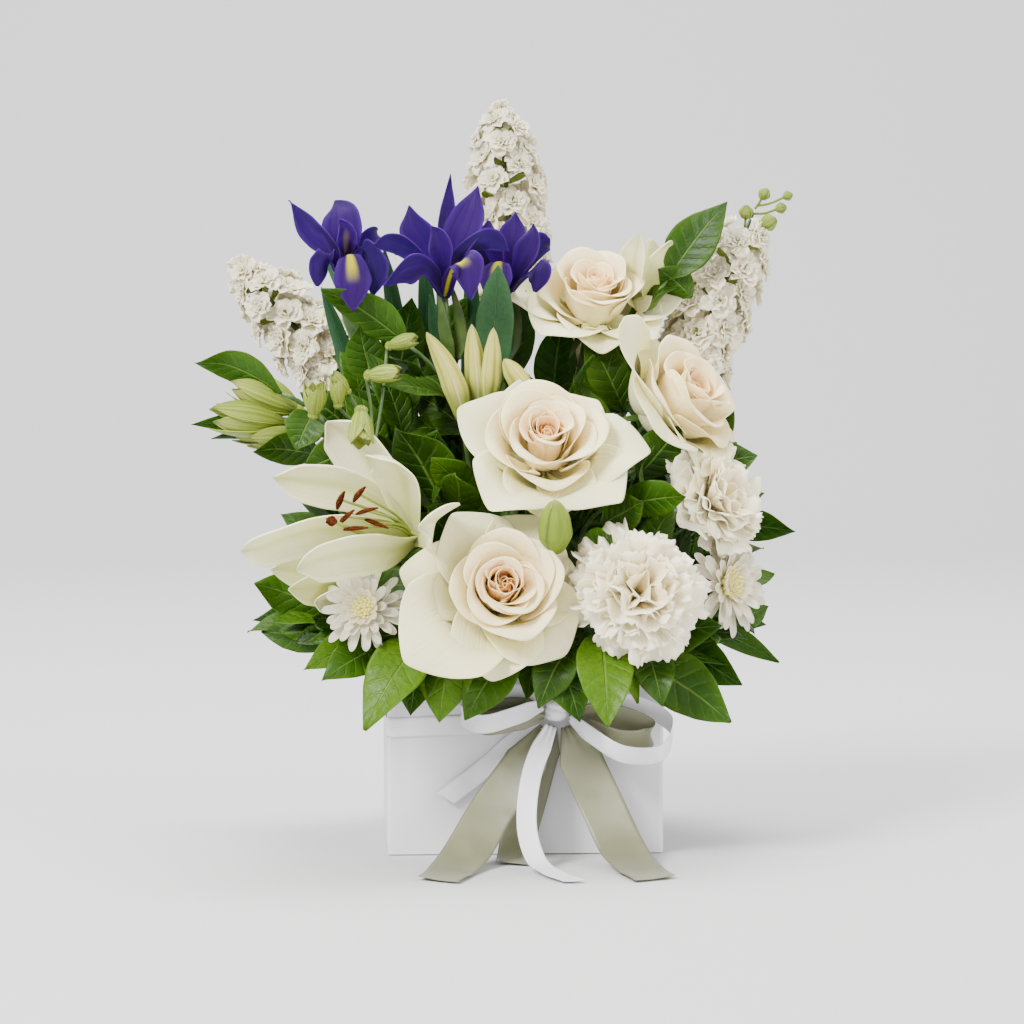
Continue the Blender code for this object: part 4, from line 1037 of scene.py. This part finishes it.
def iris(name, node, stem_top, stem_face, petals, spathe):
    sheets = Sheets()
    heart = np.asarray(stem_top, float)
    for knots, width, side, shape, fold, tone in petals:
        form = blade((heart, *knots), width * 0.84, side, shape, fold * 1.5, -0.3, (1.4, 1.7, width),
                     rows=22, cols=13)
        sheets.lay(form, tone)
    keep_clear(heart + unit(stem_face) * 16, stem_face, 34)
    made = sheets.piece(name, violet, 0.45, 1)
    n = unit(stem_face)
    stand_on_stem(name, heart, stem_face, 2.4, node)
    cover = Sheets()
    for turn in (-1, 1):
        side = np.cross(n, (0.3, -1, 0.1)) * turn
        knots = [heart - n * spathe + side * 1.5, heart - n * spathe * 0.5 + side * 5.0,
                 heart + n * 9 + side * 4.0]
        form = blade(knots, 15, np.cross(n, side), SPATHE, 0.9, 0.1, flip=turn)
        cover.lay(form, 0.8)
    cover.piece(name + "_spathe", stem_skin, 0.5, 1)


iris("iris_at_left", "iris_left", (-100, -26, 318), (-0.16, -0.2, 0.96), (
    (((-106, -36, 338), (-120, -34, 352), (-132, -26, 367)), 22, (0.5, -0.5, 0.6), STANDARD, 0.5, 0.5),
    (((-101, -38, 338), (-102, -36, 358), (-106, -22, 367)), 30, (0.9, -0.3, 0.1), STANDARD, 0.3, 0.7),
    (((-90, -34, 334), (-84, -34, 346), (-82, -26, 350)), 20, (0.4, -0.3, -0.8), STANDARD, 0.4, 0.4),
    (((-98, -52, 336), (-96, -60, 322), (-96, -60, 304)), 27, (1.0, 0.1, 0.1), FALL, 0.25, 1.0),
    (((-92, -46, 340), (-84, -50, 330), (-85, -50, 312)), 24, (0.7, -0.7, 0.1), FALL, 0.3, 0.3),
    (((-108, -46, 336), (-114, -52, 330), (-116, -54, 318)), 20, (0.6, 0.5, 0.2), FALL, 0.3, 0.6),
    (((-100, -40, 340), (-100, -50, 350), (-104, -52, 356)), 16, (1.0, 0.0, 0.2), STANDARD, 0.6, 0.8),
), 34)
iris("iris_at_centre", "iris_centre", (-44, -30, 312), (-0.08, -0.2, 0.97), (
    (((-44, -34, 340), (-42, -30, 362), (-40, -24, 382)), 13, (1.0, 0.0, -0.1), STANDARD, 0.6, 0.5),
    (((-38, -40, 338), (-30, -40, 358), (-25, -32, 375)), 28, (0.8, -0.3, -0.35), STANDARD, 0.35, 0.75),
    (((-54, -40, 340), (-62, -42, 352), (-64, -36, 364)), 24, (0.7, -0.2, 0.35), STANDARD, 0.35, 0.6),
    (((-56, -52, 330), (-70, -58, 342), (-84, -54, 341)), 20, (0.2, -0.6, 0.8), FALL, 0.3, 0.4),
    (((-54, -62, 328), (-66, -74, 328), (-79, -78, 318)), 24, (0.1, -0.5, 0.9), FALL, 0.35, 0.55),
    (((-40, -58, 328), (-33, -66, 330), (-30, -66, 310)), 25, (0.9, -0.3, 0.3), FALL, 0.3, 0.85),
    (((-46, -52, 332), (-48, -58, 344), (-52, -56, 352)), 18, (0.9, 0.0, 0.1), STANDARD, 0.5, 0.65),
    (((-38, -44, 334), (-20, -48, 344), (-8, -44, 338)), 18, (-0.2, -0.5, 0.85), FALL, 0.3, 0.35),
), 36)
iris("iris_at_right", "iris_right", (-8, -4, 312), (0.08, -0.1, 0.99), (
    (((-6, -8, 334), (-3, -6, 350), (-2, -2, 361)), 22, (0.9, -0.2, -0.1), STANDARD, 0.4, 0.75),
    (((4, -12, 330), (12, -10, 342), (18, -8, 345)), 20, (0.3, -0.4, -0.8), FALL, 0.4, 0.3),
    (((4, -20, 326), (10, -26, 326), (8, -26, 315)), 22, (0.7, -0.4, 0.5), FALL, 0.3, 0.4),
    (((-12, -26, 332), (-15, -36, 324), (-15, -38, 304)), 24, (1.0, -0.1, 0.0), FALL, 0.25, 1.0),
    (((-22, -18, 332), (-32, -20, 344), (-36, -16, 352)), 20, (0.6, -0.3, 0.7), STANDARD, 0.4, 0.5),
    (((0, -18, 330), (6, -20, 344), (8, -16, 354)), 18, (0.8, -0.3, -0.3), STANDARD, 0.4, 0.6),
    (((-14, -14, 330), (-18, -20, 346), (-18, -18, 356)), 20, (0.9, -0.3, 0.1), STANDARD, 0.4, 0.65),
), 36)

# ---------------------------------------------------------------------------------------------------------
# Leaves: glossy oval leaves on sprigs whose stalks go down into the foam, some over the rim of the
# box, with a paler midrib and side veins; and long bluish blades beside the irises.
LEAF = ((0, 0.06), (0.05, 0.2), (0.18, 0.66), (0.36, 0.97), (0.52, 1.0), (0.7, 0.8), (0.86, 0.42),
        (0.95, 0.15), (1, 0.02))
BLADE = ((0, 0.6), (0.3, 0.95), (0.6, 1.0), (0.85, 0.6), (1, 0.03))


def leaf_paint(name, dark, mid, light, vein_tint, rough, pairs):
    paint = Paint(name, {"Subsurface Weight": 0.08, "Subsurface Scale": 0.002,
                         "Subsurface Radius": (0.5, 1.0, 0.2), "Specular IOR Level": 0.15})
    across, along, tone = paint.lie()
    wide = abs(across)
    net = paint.noise(420, 4)
    side_vein = ((along - wide * 0.16 + net * 0.05) * pairs).fold()
    midrib = 1 - wide.step(0.015, 0.07)
    ribs = (1 - side_vein.step(0.03, 0.13)) * (1 - wide.step(0.75, 1.0))
    body = paint.ramp(tone, (0.0, dark), (0.5, mid), (1.0, light))
    body = paint.mix(net.step(0.35, 0.7) * 0.35, body, dark)
    body = paint.mix(wide.step(0.3, 1.0) * 0.25, body, light)
    paint.colour(paint.mix((midrib * 0.6).sum("MAXIMUM", ribs * 0.14), body, vein_tint))
    paint.rough(rough + net * 0.15)
    height = (midrib * -0.8) - ribs * 0.4 + net * 0.45 + side_vein * 0.5
    return paint.bump(height, 0.0007)


leaf_green = leaf_paint("leaf_green", (0.009, 0.031, 0.001), (0.025, 0.07, 0.002), (0.068, 0.145, 0.003),
                        (0.12, 0.2, 0.03), 0.32, 8)
blade_green = leaf_paint("blade_green", (0.008, 0.034, 0.013), (0.02, 0.07, 0.026), (0.06, 0.13, 0.05),
                         (0.05, 0.11, 0.04), 0.4, 0.01)


def leaf(sheets, base, tip, width, bow, side, rng, tone, shape=LEAF, fold=0.3):
    base, tip = np.asarray(base, float), np.asarray(tip, float)
    out = tip - base
    side = unit(side)
    up = np.cross(unit(side - unit(out) * side.dot(unit(out))), unit(out))
    if up[2] < 0:
        up = -up
    sway = rng.normal(0, 1, 3)
    knots = (base, base + out * 0.3 + up * bow * 0.8, base + out * 0.65 + up * bow, tip + up * sway[0])
    flip = 1.0 if np.cross(side, out)[2] > 0 else -1.0
    form = blade(knots, width, side, shape, fold, -0.25, (0.05 * width, 1.3 + 0.3 * sway[1], sway[2] * 3),
                 rows=18, cols=11, flip=flip)
    sheets.lay(form, tone)


def sprig(node, base, tip, width, bow, side, tone, lift=0.0, more=(), shape=LEAF, paint=leaf_green,
          radius=1.2):
    """A leaf at the end of its stalk, and further leaves (place along the stalk, tip, width) below it."""
    rng = np.random.default_rng(len(node) * 7 + int(width))
    base = np.asarray(base, float)
    face = np.asarray(tip, float) - base
    sheets, stalk = Sheets(), Sheets()
    leaf(sheets, base, tip, width, bow, side, rng, tone, shape)
    route = stem_route(base, face, lift, 22)
    for place, end, wide in more:
        start = route[int(place * 3)]
        end = np.asarray(end, float)
        leaf(sheets, start, end, wide, 3.0, np.cross(end - start, (0.2, -0.4, 0.9)), rng,
             np.clip(tone + rng.normal(0, 0.15), 0, 1))
    made = sheets.piece(node.replace("leaf_", "sprig_"), paint, 0.35, 1)
    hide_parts(node)
    rod(stalk, route, radius)
    stalk.piece(node.replace("leaf_", "stalk_"), stem_skin, 0)


sprig("leaf_front_left_low", (-56, -104, 128), (-91, -131, 77), 33, 5, (-0.6, 0.5, 0.5), 0.95, 26,
      ((5, (-76, -94, 110), 24),))
sprig("leaf_front_left", (-80, -70, 122), (-124, -95, 106), 24, 3, (0, 0.7, 0.7), 0.8, 20,
      ((6, (-114, -60, 124), 22),))
sprig("leaf_left", (-104, -50, 132), (-152, -62, 152), 29, 4, (-0.1, -0.3, 1), 0.6, 16,
      ((5, (-112, -34, 108), 24), (6, (-128, -36, 152), 24)))
sprig("leaf_front_inner", (-40, -100, 126), (-50, -122, 80), 32, 4, (1, -0.1, 0.2), 0.8, 24,
      ((5, (-20, -116, 100), 24),))
sprig("leaf_front_dark", (12, -98, 126), (27, -124, 80), 32, 5, (1, 0.2, 0.4), 0.2, 22,
      ((5, (-2, -120, 92), 24),))
sprig("leaf_front_bright", (40, -104, 128), (41, -142, 80), 32, 5, (1, 0, 0), 0.9, 24,
      ((6, (60, -120, 90), 20),))
sprig("leaf_front_right", (60, -96, 112), (111, -116, 78), 34, 6, (0.5, -0.3, 0.9), 0.35, 18,
      ((6, (112, -88, 106), 22),))
sprig("leaf_right_low", (92, -26, 130), (148, -35, 102), 17, 3, (0.2, -0.5, 0.9), 0.5, 16,
      ((5, (112, -10, 118), 22), (6, (124, -42, 128), 18)))
sprig("leaf_right", (112, -6, 180), (159, -22, 177), 21, 3, (0, -0.4, 0.9), 0.1, 0,
      ((4, (96, 22, 168), 26), (6, (128, -20, 208), 22)))
sprig("leaf_centre_right", (50, -82, 196), (86, -114, 203), 22, 3, (0, -0.3, 0.95), 0.35, 0,
      ((5, (62, -58, 190), 24), (6, (40, -62, 222), 24)))
sprig("leaf_centre_left", (-44, -76, 190), (-73, -94, 240), 38, 5, (0.9, -0.35, 0.1), 0.05, 0,
      ((4, (-58, -50, 170), 28), (5, (-70, -66, 190), 26)))
sprig("leaf_middle_small", (-30, -84, 200), (-54, -110, 224), 21, 3, (0.8, -0.2, 0.5), 0.75, 0,
      ((6, (-22, -104, 206), 18),))
sprig("leaf_left_arched", (-136, -62, 258), (-184, -70, 276), 21, 9, (0.1, -0.5, 0.85), 0.45, 0,
      ((4, (-84, -12, 206), 28), (5, (-104, -68, 224), 24), (6, (-128, -70, 226), 24)))
sprig("leaf_upper_left", (-64, -50, 284), (-114, -64, 316), 25, 6, (0.4, -0.5, 0.75), 0.4, 0,
      ((5, (-80, -70, 262), 26), (5, (-60, -26, 268), 26), (4, (-70, -40, 236), 26)))
sprig("leaf_back_right", (86, -4, 322), (121, -4, 367), 29, 4, (0.9, -0.4, -0.3), 0.1, 0,
      ((5, (118, 4, 262), 22), (4, (66, 6, 250), 26), (6, (90, -12, 318), 26)))
sprig("leaf_back_low_left", (-50, 64, 152), (-88, 90, 134), 34, 5, (0.6, 0.6, 0.4), 0.4, 0,
      ((5, (-18, 92, 138), 30), (6, (-78, 62, 168), 26)))
sprig("leaf_back_low_right", (58, 62, 150), (92, 84, 132), 34, 5, (-0.6, 0.6, 0.4), 0.5, 0,
      ((5, (28, 90, 134), 30), (6, (88, 58, 168), 26)))
sprig("leaf_back_middle", (-24, 62, 186), (-40, 86, 226), 34, 5, (0.9, 0.3, 0.1), 0.3, 0,
      ((5, (2, 88, 190), 30), (6, (-52, 72, 192), 26)))
sprig("leaf_side_left", (-98, 14, 158), (-144, 18, 174), 30, 4, (0.1, -0.4, 0.9), 0.5, 0,
      ((5, (-104, 44, 138), 28), (6, (-112, -6, 190), 26)))
sprig("leaf_side_right", (96, 34, 148), (134, 46, 158), 28, 4, (-0.1, -0.4, 0.9), 0.4, 0,
      ((5, (98, 60, 128), 26), (6, (106, 34, 186), 24)))
sprig("iris_leaf_centre", (-18, -38, 262), (-14, -46, 330), 22, 3, (1, -0.1, 0), 0.6, 0, (), BLADE,
      blade_green, 1.6)
sprig("iris_leaf_left", (-78, 16, 268), (-120, 14, 354), 10, 2, (0.9, -0.4, 0.3), 0.5, 0, (), BLADE,
      blade_green, 1.6)

# Filler sprigs of the same leaves close the gaps between the stems on every side
rng = np.random.default_rng(77)
BOUQUET_HALVES = (122, 86, 232)  # half its width, half its depth, and its height over the stem focus
FILLER_FLOOR = 119.0  # no filler leaf starts lower than this
ROOT_REACH = 60  # from the stem focus to where a filler stalk starts in the foam
FILLER_BACK = 100.0  # no leaf stands out further at the back


def filler(name, count, inner, outer, low, high, depth_shade_tone, size):
    """Leaves set round the stem focus: inner and outer are shares of the bouquet's half widths; low and
    high are the angles over the horizon between which their rays rise."""
    sheets, stalks = Sheets(), Sheets()
    for i in range(count):
        turn = i * GOLDEN_TURN + rng.normal(0, 0.15)
        rise = math.radians(low + (high - low) * ((i + 0.5) / count) + rng.normal(0, 4))
        ray = np.array((math.cos(turn) * math.cos(rise), math.sin(turn) * math.cos(rise), math.sin(rise)))
        reach = (np.abs(ray / BOUQUET_HALVES) ** 3).sum() ** (-1 / 3)
        share = inner + (outer - inner) * rng.random()
        start = STEM_FOCUS + ray * reach * share
        way = unit(ray + rng.normal(0, 0.5, 3) * (1, 1, 0.7))
        length = size * (1 + 0.2 * rng.normal())
        end = start + way * length
        start[2] = max(start[2], FILLER_FLOOR)
        end[2] = max(end[2], FILLER_FLOOR + 1)
        end[1] = min(end[1], FILLER_BACK)
        side = np.cross(way, ray * 0.7 + (0, -0.8, 0.5) + rng.normal(0, 0.45, 3))
        spots = np.stack([start, start * 0.5 + end * 0.5, end])
        if any(np.linalg.norm(spots - ball, axis=1).min() < room + length * 0.12 for ball, room in blooms):
            continue
        # the layer's tone is painted shade: the deeper the layer, the darker its leaves
        leaf(sheets, start, end, length * (0.42 + 0.08 * rng.random()), length * 0.1, side, rng,
             np.clip(depth_shade_tone + rng.normal(0, 0.18), 0, 1))
        root = STEM_FOCUS + unit(start - STEM_FOCUS) * ROOT_REACH
        rod(stalks, curve_through((root, (root + start) / 2, start + way), 6), 0.8, sides=6)
    sheets.piece(name, leaf_green, 0.3)
    stalks.piece(name + "_stalks", stem_skin, 0)


# Leaves over the rim of the box, one low behind the rose at the back, and the narrow bracts at the left:
# where each starts and ends, its width, its width direction and its tone
LOW_LEAVES = (
    ((100, -8, 312), (80, -12, 328), 19, (0.6, -0.3, 0.7), 0.3),
    ((-8, -98, 116), (-36, -124, 82), 30, (0.9, 0.2, 0.3), 0.55),
    ((-82, -84, 118), (-114, -112, 102), 24, (0, 0.6, 0.8), 0.5),
    ((24, -104, 122), (4, -126, 88), 26, (0.9, 0.1, 0.3), 0.15),
    ((66, -96, 118), (72, -124, 88), 24, (1, 0, 0.1), 0.2),
    ((-52, -96, 118), (-66, -120, 84), 28, (0.9, -0.2, 0.3), 0.25),
    ((84, -60, 120), (120, -92, 96), 26, (0.3, 0, 0.9), 0.2),
    ((-126, -50, 236), (-187, -52, 241), 13, (0, -0.4, 0.9), 0.25),
    ((-124, -48, 232), (-176, -56, 233), 12, (0, -0.6, 0.8), 0.1),
    ((-112, -60, 222), (-152, -72, 226), 22, (0, -0.5, 0.8), 0.2),
)
rim = Sheets()
for start, end, wide, side, tone in LOW_LEAVES:
    leaf(rim, start, end, wide, 5.0, side, rng, tone)
rim.piece("leaves_over_rim", leaf_green, 0.35, 1)

# Leaves that stand in the gaps behind the blooms, given low tones as painted shade there, and the irises'
# own long foliage
GAP_LEAVES = (
    ((-6, 2, 262), (4, -6, 316), 24, 0.15), ((38, -18, 236), (54, -34, 284), 28, 0.1),
    ((60, -20, 246), (36, -26, 292), 26, 0.2), ((64, -58, 210), (88, -70, 240), 26, 0.15),
    ((20, 10, 250), (26, 2, 300), 26, 0.1), ((74, 4, 262), (66, -4, 306), 26, 0.12),
    ((-70, -6, 262), (-62, -12, 312), 26, 0.15), ((-54, 6, 270), (-30, 0, 312), 24, 0.1),
    ((-84, -40, 262), (-92, -48, 296), 24, 0.3), ((96, -20, 222), (122, -30, 250), 26, 0.12),
    ((-96, -70, 226), (-124, -86, 216), 24, 0.2), ((-60, -74, 206), (-50, -94, 236), 26, 0.08),
    ((100, -40, 214), (134, -44, 222), 24, 0.2), ((-40, 10, 250), (-66, 4, 292), 28, 0.12),
    ((40, -96, 186), (62, -112, 200), 22, 0.25), ((-36, -84, 176), (-56, -104, 196), 26, 0.1),
    ((-48, -96, 160), (-70, -112, 168), 24, 0.2), ((30, -104, 168), (44, -118, 182), 20, 0.4),
    ((-70, -20, 220), (-100, -30, 262), 28, 0.1), ((-90, -10, 230), (-126, -20, 258), 28, 0.15),
)
IRIS_FOLIAGE = (
    ((-64, 0, 220), (-78, -6, 342), 13), ((-50, 8, 220), (-56, 2, 338), 14),
    ((-30, 4, 220), (-28, -2, 340), 13), ((-10, 10, 220), (2, 6, 332), 12),
    ((-84, -6, 216), (-114, -16, 318), 12), ((-40, -20, 230), (-52, -34, 314), 14),
)
between, foliage = Sheets(), Sheets()
for start, end, wide, tone in GAP_LEAVES:
    leaf(between, start, end, wide, 4.0, np.cross(np.subtract(end, start), (0.15, -1, 0.3)), rng, tone)
between.piece("leaves_between_blooms", leaf_green, 0.35, 1)
for start, end, wide in IRIS_FOLIAGE:
    leaf(foliage, start, end, wide, 5.0, (1, -0.3, 0.1), rng, 0.3, BLADE, 0.6)
foliage.piece("iris_foliage", blade_green, 0.5, 1)

# Painted shade: the deeper filler layers have darker leaves than the outer ones
filler("filler_deep", 220, 0.42, 0.68, 14, 86, 0.1, 44)
filler("filler_middle", 300, 0.62, 0.86, 10, 80, 0.22, 44)
filler("filler_outer", 190, 0.82, 0.98, 6, 74, 0.38, 38)
filler("filler_collar", 70, 0.5, 0.8, 6, 26, 0.45, 38)
